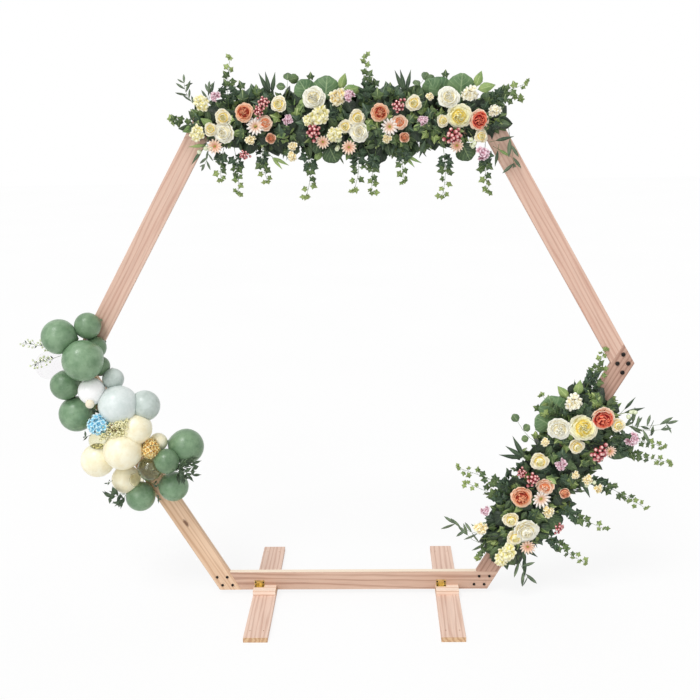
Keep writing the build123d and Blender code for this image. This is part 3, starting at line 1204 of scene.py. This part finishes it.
top_flowers = {
    "white_rose": [(-435, -21, 74), (50, -25, 72)],
    "white_peony": [(-108, 99, 78), (372, 90, 76)],
    "white_blossom": [(538, 43, 46), (450, 103, 60)],
    "cream_rose": [
        (-439, 34, 60), (-484, -7, 50), (-235, 76, 60), (250, 74, 58), (44, 28, 60), (2, -4, 50),
        (489, -46, 50), (353, 12, 46),
    ],
    "yellow_peony": [(411, 29, 88)],
    "yellow_blossom": [(-89, 39, 76), (-129, 18, 46), (-37, -28, 58), (-530, -20, 60), (-513, 84, 60)],
    "cream_blossom": [
        (-31, 97, 66), (-192, -72, 36), (-192, -108, 38), (306, 95, 30), (-337, -45, 40),
        (148, -48, 36),
    ],
    "orange_rose": [(-360, 50, 70), (125, 44, 68)],
    "red_rose": [(480, 11, 74)],
    "peach_rose": [(-288, 12, 54), (197, 8, 54)],
    "orange_bud": [(-268, -42, 46), (217, -44, 46)],
    "daisy": [(-322, 0, 64), (162, -6, 62)],
    "peach_blossom": [(-474, -66, 54), (-80, -55, 50), (13, -76, 54), (405, -76, 50)],
    "pink_blossom": [(-202, 22, 42), (16, 101, 46), (282, 15, 42), (493, -103, 58), (-462, 108, 40)],
    "berry_spray": [
        (-290, 80, 50), (-305, 52, 46), (-363, -96, 42), (-111, -24, 62), (192, 68, 54), (385, -40, 70),
    ],
}
right_flowers = {
    "white_rose": [(-229, -18, 102)],
    "white_peony": [(197, 92, 90)],
    "white_blossom": [(311, 97, 68)],
    "cream_rose": [(-221, 54, 66), (-280, 2, 66), (46, 86, 74), (165, -6, 62), (316, -98, 56)],
    "yellow_peony": [(241, 14, 106)],
    "yellow_blossom": [(-348, -6, 76), (-390, 2, 58)],
    "cream_blossom": [
        (67, -117, 44), (54, -170, 40), (120, 108, 36), (-117, -48, 52), (67, -66, 34), (-310, 135, 56),
    ],
    "orange_rose": [(-118, 70, 88)],
    "red_rose": [(314, -30, 94)],
    "peach_rose": [(-36, 10, 66)],
    "orange_bud": [(-20, -68, 52)],
    "daisy": [(-89, 0, 74)],
    "peach_blossom": [(-288, -64, 62), (212, -128, 50)],
    "pink_blossom": [(298, -172, 60), (75, 10, 52), (-240, 160, 42)],
    "berry_spray": [(190, -84, 80), (-32, 76, 60), (-28, 124, 46), (-159, -121, 48)],
}

# The pieces of flower heads: node, slot and kinds

blooms = (
    ("white_roses", "petal_white", ("white_rose", "white_peony", "white_blossom")),
    ("orange_roses", "petal_orange", ("orange_rose", "red_rose", "peach_rose", "orange_bud")),
    ("yellow_roses", "petal_yellow", ("cream_rose", "yellow_peony", "yellow_blossom", "cream_blossom")),
    ("daisies", "petal_daisy", ("daisy", "peach_blossom", "pink_blossom")),
    ("berries", "berry_red", ("berry_spray",)),
)

# The leafy ends: kind of stem, root and tip, along and across in millimetres

top_stems = [
    ("ivy", (-420, 60), (-410, 238)), ("twig", (-525, 60), (-580, 158)),
    ("twig", (-500, 60), (-492, 136)), ("sparse", (-545, 30), (-634, 24)),
    ("coin", (-230, 60), (-205, 162)), ("ivy", (60, 60), (75, 235)), ("coin", (270, 60), (285, 156)),
    ("ivy", (505, 70), (650, 135)), ("sparse", (540, 60), (632, 88)),
    ("olive", (590, -10), (616, -146)), ("twig", (-520, -30), (-520, -132)),
    ("ivy", (-440, -60), (-462, -190)), ("ivy", (-410, -60), (-400, -238)),
    ("ivy", (-300, -60), (-290, -198)), ("ivy", (-155, -60), (-150, -258)),
    ("ivy", (35, -60), (28, -235)), ("ivy", (120, -60), (95, -245)), ("ivy", (215, -60), (215, -202)),
    ("ivy", (350, -60), (355, -262)), ("ivy", (510, -60), (522, -245)),
    ("bells", (-60, -20), (-20, -95)), ("bells", (440, -20), (470, -95)),
    ("bells", (-480, -40), (-540, -90)),
]
right_stems = [
    ("ivy", (-120, 60), (-150, 330)), ("ivy", (-180, 60), (-190, 278)), ("ivy", (345, 80), (540, 94)),
    ("ivy", (330, 60), (470, 62)), ("olive", (330, -60), (376, -270)),
    ("olive", (300, -60), (408, -274)), ("ivy", (230, -60), (321, -318)),
    ("ivy", (200, -60), (278, -376)), ("ivy", (60, -60), (70, -398)), ("ivy", (-90, -60), (-85, -302)),
    ("ivy", (-200, -60), (-250, -320)), ("olive", (-332, -36), (-414, -150)),
    ("olive", (-320, 60), (-362, 224)), ("olive", (-345, 50), (-380, 156)),
    ("coin", (110, 60), (130, 232)), ("ivy", (250, 60), (270, 205)), ("sparse", (-345, 96), (-450, 66)),
    ("bells", (40, -60), (60, -200)), ("bells", (330, -60), (400, -150)),
]

# Leaves that stand out: kind, root along and across, how far out, length and heading

swag_repeat = 485
top_repeated_leaves = [
    ("dark_ivy", -406, 96, 40, 52, 148), ("dark_ivy", -386, 108, 34, 54, 118),
    ("ivy", -366, 98, 46, 50, 92), ("dark_ivy", -328, 116, 30, 54, 104),
    ("dark_ivy", -350, 104, 40, 56, 70), ("ivy", -318, 118, 34, 46, 92),
    ("dark_ivy", -304, 110, 30, 52, 58), ("dark_ivy", -286, 104, 36, 50, 34),
    ("ivy", -372, 140, 24, 38, 110), ("round", -70, 92, 34, 84, 84), ("round", -128, 102, 30, 68, 118),
    ("fresh", -14, 128, 44, 58, 70), ("fresh", -6, 118, 48, 64, 14), ("ivy", -122, 168, 20, 32, 88),
    ("slim", -272, 118, 40, 78, 116), ("slim", -268, 118, 44, 76, 102), ("slim", -262, 118, 40, 74, 78),
    ("round_dark", -60, -72, 40, 66, -66), ("slim", -196, -58, 70, 66, -108),
    ("fresh_slim", -262, -112, 40, 62, -28), ("fresh_slim", -268, -112, 38, 56, -50),
]
top_placed_leaves = [
    (kind, along + repeat * swag_repeat, *rest)
    for repeat in (0, 1)
    for kind, along, *rest in top_repeated_leaves
]
top_placed_leaves += [
    ("slim", -486, 116, 30, 50, 70), ("slim", -462, 118, 30, 42, 48), ("slim", -528, -84, 40, 62, -130),
    ("fresh_slim", -510, -62, 60, 60, 186), ("slim", 545, -62, 60, 66, 12),
    ("slim", 556, -100, 30, 58, -100), ("fresh_slim", 560, -96, 30, 52, -30),
    ("round", 330, 100, 26, 66, 118),
]
right_placed_leaves = [
    ("round", 222, 112, 34, 96, 52), ("round", 182, 108, 28, 78, 88), ("fresh", 312, 120, 44, 62, 72),
    ("fresh", 338, 96, 46, 66, 22), ("young_ivy", 212, 160, 40, 44, 70), ("ivy", 214, 190, 20, 34, 92),
    ("slim", 24, 146, 44, 92, 58), ("slim", 20, 146, 48, 84, 84), ("slim", 14, 146, 44, 90, 112),
    ("round_dark", 246, -112, 40, 104, -96), ("round_dark", -140, -80, 30, 70, -120),
    ("slim", -322, -70, 30, 74, -142), ("slim", -318, -70, 34, 62, -178),
    ("slim", -312, -72, 34, 66, -96), ("slim", -352, -92, 30, 84, -146),
    ("slim", 368, -104, 40, 78, -44), ("slim", 380, -96, 40, 62, -10), ("olive", 346, -158, 30, 64, 24),
    ("slim", 60, -96, 70, 84, -126),
]

# Silks of the petals, deep inside to pale at the rim, the deep colour partly their own and partly
# painted shade, and how far up the deep colour reaches

petal_looks = {
    "cream": ((244, 214, 130), (253, 239, 192), (255, 250, 228), 0.45),
    "white": ((248, 232, 178), (255, 249, 224), (255, 254, 242), 0.45),
    "yellow": ((234, 204, 92), (252, 237, 148), (255, 250, 200), 0.55),
    "lemon": ((232, 222, 122), (251, 242, 178), (255, 252, 224)),
    "peach": ((226, 128, 82), (249, 194, 152), (255, 228, 204), 0.4),
    "orange": ((182, 60, 26), (232, 122, 70), (252, 184, 140), 0.64),
    "red": ((172, 26, 16), (236, 70, 44), (253, 148, 114), 0.64),
    "coral": ((208, 98, 54), (242, 162, 116), (255, 216, 184), 0.5),
    "salmon": ((206, 116, 84), (250, 204, 172), (255, 232, 212), 0.12),
    "pink": ((170, 100, 120), (226, 180, 194), (248, 226, 234)),
    "blush": ((226, 176, 140), (253, 234, 220), (255, 249, 243)),
    "blue": ((96, 184, 224), (166, 230, 249), (224, 248, 254)),
    "apricot": ((184, 118, 40), (252, 210, 118), (255, 242, 182)),
}

# Grainy looks: the dark and the light grain, roughness and how fine the grain is

grainy_looks = {
    # The five hearts' colours are partly the flowers' own and partly painted shade deep inside the
    # flowers.
    "white_heart": ((228, 214, 160), (246, 238, 206), 0.8, 120),
    "yellow_heart": ((218, 188, 74), (244, 224, 124), 0.8, 120),
    "orange_heart": ((112, 28, 10), (170, 56, 24), 0.8, 120),
    "peach_heart": ((196, 96, 54), (230, 146, 96), 0.8, 120),
    "red_heart": ((100, 10, 8), (166, 24, 16), 0.8, 120),
    "pollen": ((120, 118, 40), (206, 190, 84), 0.9, 900),
    "green_heart": ((120, 136, 50), (196, 198, 96), 0.8, 700),
    "stem_green": ((70, 92, 48), (110, 134, 70), 0.6, 300),
    "stem_pale": ((150, 172, 104), (196, 208, 150), 0.6, 300),
    "gypsophila_bud": ((222, 215, 150), (250, 247, 216), 0.7, 200),
    "bell_bud": ((196, 208, 150), (240, 244, 224), 0.6, 200),
}

# Leaf looks: the dark and the light blade, the veins and how many side veins

leaf_looks = {
    "sepal": ((64, 88, 46), (100, 126, 66), (140, 158, 96)),
    # leaf_shade: nearly black leaves that stand for the shade inside the swag, as painted shade.
    "leaf_shade": ((18, 34, 20), (40, 60, 38), (66, 86, 56), 5.0),
    "leaf_broad": ((40, 64, 38), (78, 104, 64), (126, 148, 100), 5.0),
    "leaf_round": ((80, 114, 74), (116, 146, 98), (152, 176, 130), 5.0),
    "leaf_pointed": ((34, 56, 32), (84, 106, 62), (132, 152, 104), 7.0),
    "leaf_fresh": ((106, 142, 74), (156, 178, 106), (200, 214, 152), 7.0),
    "leaf_slim": ((36, 58, 38), (76, 98, 68), (120, 138, 104), 0.0),
    "leaf_olive": ((66, 86, 64), (112, 130, 98), (160, 170, 138), 0.0),
    "leaf_coin": ((64, 92, 56), (104, 128, 80), (150, 166, 116), 4.0),
}
ivy_looks = {
    "ivy_dark": ((28, 52, 34), (58, 84, 56), (108, 132, 96)),
    "ivy_old": ((48, 74, 40), (92, 116, 62), (152, 168, 108)),
    "ivy_young": ((92, 120, 56), (148, 168, 94), (204, 212, 150)),
}


def make_silks():
    """All the silk, pollen and stem materials by name."""
    silks = {name: petal_silk(f"silk_{name}", *look) for name, look in petal_looks.items()}
    for make, looks in ((grainy, grainy_looks), (leaf_silk, leaf_looks), (ivy_silk, ivy_looks)):
        for name, look in looks.items():
            silks[name] = make(name, *look)
    # The last colour, the berry's pale tip, is a painted highlight.
    silks["berry"] = berry_skin("berry", (112, 26, 40), (186, 82, 88), (244, 196, 188))
    return silks


# Roses and peonies: silk of the heart, the inner, middle and outer petals, their number, ruffled or
# not; the heart's darker silk is partly the flower's own colour and partly painted shade inside the
# flower

rose_kinds = {
    "white_rose": ("white_heart", "cream", "white", "white", 42, False),
    "white_peony": ("white_heart", "white", "white", "white", 60, True),
    "cream_rose": ("yellow_heart", "yellow", "cream", "cream", 34, False),
    "yellow_peony": ("yellow_heart", "yellow", "yellow", "lemon", 64, True),
    "orange_rose": ("orange_heart", "orange", "orange", "coral", 52, True),
    "red_rose": ("red_heart", "red", "red", "peach", 54, True),
    "peach_rose": ("peach_heart", "peach", "peach", "peach", 38, True),
}

# Clusters of florets: silk, number and size of the florets

cluster_kinds = {
    "white_blossom": ("white", 10, 0.58),
    "yellow_blossom": ("lemon", 10, 0.58),
    "cream_blossom": ("cream", 7, 0.6),
    "pink_blossom": ("pink", 7, 0.54),
}

# Leaves: silk, the width at each row, fold and droop

broad_widths = (0.12, 0.8, 1.08, 1.1, 0.9, 0.5, 0.0)
round_widths = (0.3, 0.86, 1.12, 1.2, 1.12, 0.82, 0.2)
pointed_widths = (0.06, 0.44, 0.58, 0.48, 0.26, 0.0)
slim_widths = (0.04, 0.17, 0.22, 0.17, 0.08, 0.0)
leaf_kinds = {
    "shade": ("leaf_shade", broad_widths, 0.06, 0.14),
    "broad": ("leaf_broad", broad_widths, 0.06, 0.14),
    "round": ("leaf_round", round_widths, 0.05, 0.1),
    "round_dark": ("leaf_broad", round_widths, 0.05, 0.1),
    "pointed": ("leaf_pointed", pointed_widths, 0.06, 0.14),
    "fresh": ("leaf_fresh", pointed_widths, 0.06, 0.1),
    "slim": ("leaf_slim", slim_widths, 0.03, 0.1),
    "fresh_slim": ("leaf_fresh", slim_widths, 0.03, 0.1),
    "box": ("leaf_slim", (0.06, 0.26, 0.35, 0.27, 0.1, 0.0), 0.04, 0.1),
    "olive": ("leaf_olive", (0.04, 0.19, 0.24, 0.18, 0.0), 0.02, 0.08),
    "coin": ("leaf_coin", (0.2, 0.86, 1.0, 0.86, 0.2), 0.02, 0.05),
}


def make_patterns(silks, chance):
    """One pattern of each flower, one unit in radius, of each leaf, one unit long, and of the stems."""
    petals = (
        make_heart(),
        make_petal("closed_petal", 132, 0.72, 0.0, (0.3, 0.7, 0.95, 1.03, 1.04, 0.94), 0.07),
        make_petal("opened_petal", 92, 0.74, 0.10, (0.25, 0.6, 0.84, 1.0, 1.14, 1.27), 0.075),
    )
    ray = make_leaf("ray", silks["blush"], (0.1, 0.25, 0.31, 0.28, 0.1), -0.02, -0.12)
    lobe = make_leaf("lobe", silks["blush"], (0.2, 0.62, 0.86, 0.8, 0.34), -0.05, -0.16)
    pollen = make_centre("pollen_cushion", silks["pollen"], 0.45)
    green_heart = make_centre("green_cushion", silks["green_heart"], 0.6)
    berry = make_berry("berry", silks["berry"])
    stalk = make_stalk("stalk", silks["stem_green"])
    floret = make_blossom("floret", lobe, green_heart, silks["blue"], 5, 0.4)
    patterns = {"stalk": stalk, "floret": floret, "bell": make_berry("bell", silks["bell_bud"])}
    for name, (*layers, count, ruffled) in rose_kinds.items():
        layer_silks = [silks[layer] for layer in layers]
        patterns[name] = make_rose(name, petals, layer_silks, count, ruffled, chance)
    bud_silks = (silks["orange"], silks["orange"], silks["peach"])
    patterns["orange_bud"] = make_bud("orange_bud", petals, bud_silks, silks["sepal"])
    for name, silk in (("daisy", "blush"), ("peach_blossom", "salmon")):
        patterns[name] = make_daisy(name, ray, pollen, silks[silk])
    for name, (silk, count, size) in cluster_kinds.items():
        patterns[name] = make_cluster(name, floret, silks[silk], count, size, chance)
    patterns["berry_spray"] = make_berry_spray("berry_spray", berry, stalk, chance)
    for name, (silk, *form) in leaf_kinds.items():
        patterns[name] = make_leaf(f"{name}_leaf", silks[silk], *form)
    for name, silk in (("dark_ivy", "ivy_dark"), ("ivy", "ivy_old"), ("young_ivy", "ivy_young")):
        patterns[name] = make_ivy_leaf(f"{name}_leaf", silks[silk])
    put_away(*petals, ray, lobe, pollen, green_heart, berry)
    return patterns


# Stems: leaves near the root, further on and at the tip, spacing, leaf length at root and tip, how
# far the leaves spread, how long their stalks are, and where the first leaf sits

stem_kinds = {
    "ivy": (("dark_ivy", "ivy", "young_ivy"), 16, (44, 24), 0.95, 11, 0.2),
    "olive": (("olive",) * 3, 23, (64, 54), 0.5, 2, 0.2),
    "twig": (("olive",) * 3, 12, (44, 38), 0.6, 1, 0.2),
    "coin": (("coin",) * 3, 34, (38, 34), 0.9, 5, 0.6),
    "sparse": (("ivy", "ivy", "young_ivy"), 14, (36, 30), 0.95, 4, 0.15),
}


def bell_stem(swag, patterns, pale_stem, root, tip):
    """A thin pale stem that arches out and ends in small bell buds."""
    stalk = patterns["stalk"]
    points = strand_points(swag, root, tip, 30, 10, 6)
    parts = [
        stalk_between(stalk, here, there, 0.001, pale_stem) for here, there in zip(points, points[1:])
    ]
    for number in range(4):
        start = points[3 + number % 3]
        way = swag.way(swag.chance.uniform(-1, 1), swag.chance.uniform(-1, 0.6), 0.6)
        end = start + way.normalized() * 0.016
        parts.append(stalk_between(stalk, start, end, 0.0007))
        parts.append(copy_at(patterns["bell"], looking(end, way, 0, 0.0085)))
    return parts


def dress_swag(swag, flowers, stems, placed, counts, patterns, pale_stem):
    """Fills one swag with its leaves, leafy ends and flowers."""
    spots = [spot for places in flowers.values() for spot in places]
    inner, outer, pointed, ivy = counts
    # The inner layer is of the darkest leaves, as painted shade inside the swag.
    broad = swag_cover(swag, patterns, ("shade",), inner, (), (58, 84), (0.5, 0.66, 0.78), 0.94)
    broad += swag_cover(swag, patterns, ("broad", "shade"), outer, spots, (50, 78), (0.8, 0.95), 0.94)
    broad += placed_leaves(swag, patterns, placed)
    swag.finish("broad_leaves", broad, "leaf_green", "leaves")
    mixed = ("pointed", "pointed", "pointed", "shade", "fresh")
    middle = swag_cover(swag, patterns, mixed, pointed, spots, (38, 60), (0.78, 0.92, 1.04))
    swag.finish("pointed_leaves", middle, "leaf_green", "leaves")
    ivies = ("dark_ivy", "dark_ivy", "ivy", "ivy", "young_ivy")
    top = swag_cover(swag, patterns, ivies, ivy, spots, (34, 52), (0.92, 1.02, 1.1))
    swag.finish("ivy_leaves", top, "leaf_green", "leaves")
    ends = []
    for kind, root, tip in stems:
        if kind == "bells":
            ends += bell_stem(swag, patterns, pale_stem, root, tip)
        else:
            kinds, *growth = stem_kinds[kind]
            ends += strand(swag, patterns, kinds, root, tip, *growth)
    swag.finish("leafy_ends", ends, "leaf_green", "trails")
    for node, slot, names in blooms:
        heads = [head for name in names for head in plant_flowers(swag, patterns[name], flowers[name])]
        swag.finish(f"{node}_heads", heads, slot, node)


def dot_sprig(patterns, root, tip, chance):
    """A fine branching sprig with a bead at the end of each twig."""
    stalk = patterns["stalk"]
    run = tip - root
    along = run.normalized()
    side = along.cross(Vector((0, -1, 0)))
    parts = [stalk_between(stalk, root, tip, 0.0008)]
    twig_count = 22
    for _ in range(twig_count):
        start = root + run * chance.uniform(0.15, 1.0)
        way = side * chance.uniform(-1, 1) + along * chance.uniform(0.1, 1)
        way += Vector((0, chance.uniform(-0.7, 0.3), 0))
        end = start + way.normalized() * chance.uniform(0.01, 0.026)
        parts.append(stalk_between(stalk, start, end, 0.0005))
        parts.append(copy_at(patterns["bell"], looking(end, way, 0, chance.uniform(0.0034, 0.0048))))
    return parts


# The sprigs of the garland: leaf length, root and tip, along and up in millimetres

garland_stems = (
    (42, (-884, 490), (-944, 472)), (42, (-884, 486), (-926, 450)), (38, (-886, 494), (-930, 494)),
    (40, (-676, 586), (-624, 634)), (40, (-672, 588), (-612, 612)), (40, (-670, 584), (-610, 588)),
    (40, (-668, 580), (-616, 564)), (34, (-670, 576), (-642, 550)), (24, (-800, 548), (-768, 526)),
    (24, (-772, 500), (-756, 470)), (32, (-994, 866), (-964, 824)), (26, (-1000, 736), (-1026, 728)),
    (16, (-930, 548), (-946, 542)),
)
dotted_stems = (((-1120, 1062), (-1252, 1090)), ((-1110, 1036), (-1218, 1002)))
garland_front = 0.085


def garland_greenery(patterns, yellow, chance):
    """The sprigs tucked between the balloons, and a yellow floret on one of them."""
    wide = Swag("garland", (0, 0, 0), (1, 0, 0), 31)
    box_leaf = patterns["box"]
    parts = []
    for size, root, tip in garland_stems:
        parts += strand(wide, patterns, ("box",) * 3, root, tip, 7, (size, size * 0.9), 0.5, 1, 0.0)
    for part in parts:
        part.location.y -= garland_front
    floret_place = Vector((-0.659, -0.112, 0.6))
    parts.append(copy_at(patterns["floret"], looking(floret_place, wide.front, 0, 0.011), yellow))
    for root, tip in dotted_stems:
        start = Vector((root[0], -50, root[1])) * millimetre
        end = Vector((tip[0], -54, tip[1])) * millimetre
        parts += dot_sprig(patterns, start, end, chance)
        for number in range(5):
            place = start.lerp(end, 0.3 + 0.15 * number)
            way = Vector((chance.uniform(-1, 0.2), -0.3, chance.choice((-1, 1))))
            size = chance.uniform(0.013, 0.018)
            parts.append(copy_at(box_leaf, facing(place, way, wide.front, size)))
    fit(join("garland_sprigs", parts), "leaf_green", "garland_leaves")


def gypsophila(patterns, silks, chance):
    """A cloud of tiny white buds beside the blue hydrangea."""
    heart = Vector((-0.898, -0.168, 0.773))
    bud_count = 240
    stem_thinness = 0.0004
    parts = []
    for _ in range(bud_count):
        reach = Vector((chance.uniform(-1, 1), chance.uniform(-0.6, 0.35), chance.uniform(-0.6, 0.6)))
        end = heart + Vector((reach.x * 0.058, reach.y * 0.03, reach.z * 0.05 + reach.x * 0.014))
        start = heart + Vector((reach.x * 0.03, 0.035, -0.01))
        parts.append(stalk_between(patterns["stalk"], start, end, stem_thinness, silks["stem_pale"]))
        place = looking(end, end - heart, 0, chance.uniform(0.0024, 0.004))
        parts.append(copy_at(patterns["bell"], place, silks["gypsophila_bud"]))
    fit(join("garland_gypsophila", parts), "petal_white")


# Timber: how far each board is turned, and its pale, warm and streak colours

upper_wood = ((225, 192, 173), (211, 171, 152), (190, 145, 126))
left_wood = ((232, 200, 170), (214, 176, 142), (192, 148, 116))
right_wood = ((200, 163, 144), (174, 134, 116), (138, 97, 83))
bottom_wood = ((216, 183, 162), (193, 155, 134), (160, 117, 98))
foot_wood = ((238, 209, 192), (221, 186, 167), (197, 154, 134))
block_wood = ((252, 233, 217), (238, 207, 184), (210, 168, 139))
boards = {
    "beam_bottom": (0, bottom_wood),
    "beam_lower_right": (60, right_wood),
    "beam_upper_right": (120, upper_wood),
    "beam_top": (180, upper_wood),
    "beam_upper_left": (240, upper_wood),
    "beam_lower_left": (300, left_wood),
}
knot_place = (-0.674, 0.318)
grain_slope = 0.012


def dress(node, material):
    """Gives a CAD node its finish."""
    coat(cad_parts[node], material)


def dress_timber():
    """Every board with its own stretch of pine, and the brackets in brass."""
    for number, (node, (heading, wood)) in enumerate(boards.items()):
        turn = radians(heading)
        knot = None
        if node == "beam_lower_left":
            x, z = knot_place
            knot = (x * cos(turn) + z * sin(turn), -x * sin(turn) + z * cos(turn))
        # The bottom board's upward faces get painted top light.
        painted_top_light = 0.8 if node == "beam_bottom" else 0.0
        shift_along = 0.31 + 0.83 * number
        pine = sawn_pine(f"pine_{node}", (0, turn, 0), wood, shift_along, grain_slope, knot, painted_top_light)
        dress(node, pine)
    brass = worn_brass("brass")
    for number, side in enumerate(("left", "right")):
        name = f"foot_plank_{side}"
        dress(name, sawn_pine(f"pine_{name}", (0, 0, -pi / 2), foot_wood, 3.1 + number * 1.7))
        for row in ("front", "rear"):
            name = f"cleat_{side}_{row}"
            dress(name, sawn_pine(f"pine_{name}", (0, 0, 0), block_wood, 5.2 + number + 0.3 * len(row)))
            dress(f"bracket_{side}_{row}", brass)


# Floor and light


def lay_floor():
    """A plain pale floor that keeps the arch's shadow."""
    floor = new_shape(bpy.ops.mesh.primitive_plane_add, "floor", size=40)
    camera_share = 0.84
    finish = Finish("pale_floor", 0.9)
    cloud = finish.noise(finish.mapped(), 0.6)
    finish.paint(finish.ramp(cloud, (0.3, (240, 240, 240)), (0.7, (246, 246, 246))))
    glow = finish.add("ShaderNodeEmission", {"Color": (1, 1, 1, 1), "Strength": 1.0})
    seen = finish.add("ShaderNodeLightPath").outputs["Is Camera Ray"]
    share = finish.sum("MULTIPLY", seen, camera_share)
    sources = {0: share, 1: finish.shader.outputs[0], 2: glow.outputs[0]}
    blend = finish.add("ShaderNodeMixShader", sources)
    finish.feed(finish.nodes["Material Output"].inputs["Surface"], blend.outputs[0])
    floor.data.materials.append(finish.material)


def light_studio():
    """White surroundings for the camera, soft even light for the arch, and two soft lamps."""
    world = bpy.data.worlds.new("studio")
    bpy.context.scene.world = world
    studio = Wiring(world)
    soft_strength = 0.62
    soft = studio.nodes["Background"]
    soft.inputs["Color"].default_value = (1, 1, 1, 1)
    soft.inputs["Strength"].default_value = soft_strength
    white = studio.add("ShaderNodeBackground", {"Color": (1, 1, 1, 1), "Strength": 1.0})
    rays = studio.add("ShaderNodeLightPath").outputs
    seen = studio.sum("MAXIMUM", rays["Is Camera Ray"], rays["Is Transmission Ray"])
    seen = studio.sum("MAXIMUM", seen, rays["Is Glossy Ray"])
    sources = {0: seen, 1: soft.outputs[0], 2: white.outputs[0]}
    blend = studio.add("ShaderNodeMixShader", sources)
    studio.feed(studio.nodes["World Output"].inputs["Surface"], blend.outputs[0])
    lamps = (
        ("overhead_lamp", (24, -18, 0), 1.25, 0.35),
        ("front_lamp", (62, 0, -20), 0.55, 0.5),
    )
    for name, turn, strength, spread in lamps:
        rotation = [radians(angle) for angle in turn]
        bpy.ops.object.light_add(type="SUN", location=(0, -2, 4), rotation=rotation)
        lamp = bpy.context.object
        lamp.name = name
        lamp.data.energy = strength
        lamp.data.angle = spread


def main():
    """Dresses the arch and sets the stage."""
    bpy.context.scene.view_settings.view_transform = "Standard"
    bpy.ops.object.select_all(action="DESELECT")
    set_camera()
    light_studio()
    lay_floor()
    dress_timber()
    steel = black_steel("blackened_steel")
    fasten_corners(steel)
    fasten_brackets(steel)
    dress_garland()
    silks = make_silks()
    chance = Random(5)
    patterns = make_patterns(silks, chance)
    for name, place, silk in (
        ("hydrangea_blue", blue_hydrangea, "blue"),
        ("hydrangea_orange", orange_hydrangea, "apricot"),
    ):
        hydrangea_head(name, patterns["floret"], place, silks[silk], f"petal_{silk}", chance)
    garland_greenery(patterns, silks["yellow"], chance)
    gypsophila(patterns, silks, chance)
    top_middle = (0, 0, centre_height + board_axis)
    lean = radians(-30)
    right_middle = (board_axis * cos(lean), 0, centre_height + board_axis * sin(lean))
    top_reach = {"ends": (-572, 574), "upper": (118, 0.4, 0.35), "lower": (104, 0.85, 0.95)}
    right_reach = {"ends": (-404, 385), "upper": (136, 0.55, 0.3), "lower": (134, 0.6, 0.4)}
    top = Swag("top_swag", top_middle, (1, 0, 0), 11, **top_reach)
    right = Swag("right_swag", right_middle, (0.5, 0, sqrt(3) / 2), 12, **right_reach)
    pale_stem = silks["stem_pale"]
    top_places = (top_flowers, top_stems, top_placed_leaves, (200, 50, 330, 480))
    right_places = (right_flowers, right_stems, right_placed_leaves, (150, 44, 250, 370))
    dress_swag(top, *top_places, patterns, pale_stem)
    dress_swag(right, *right_places, patterns, pale_stem)
    put_away(*patterns.values())


main()
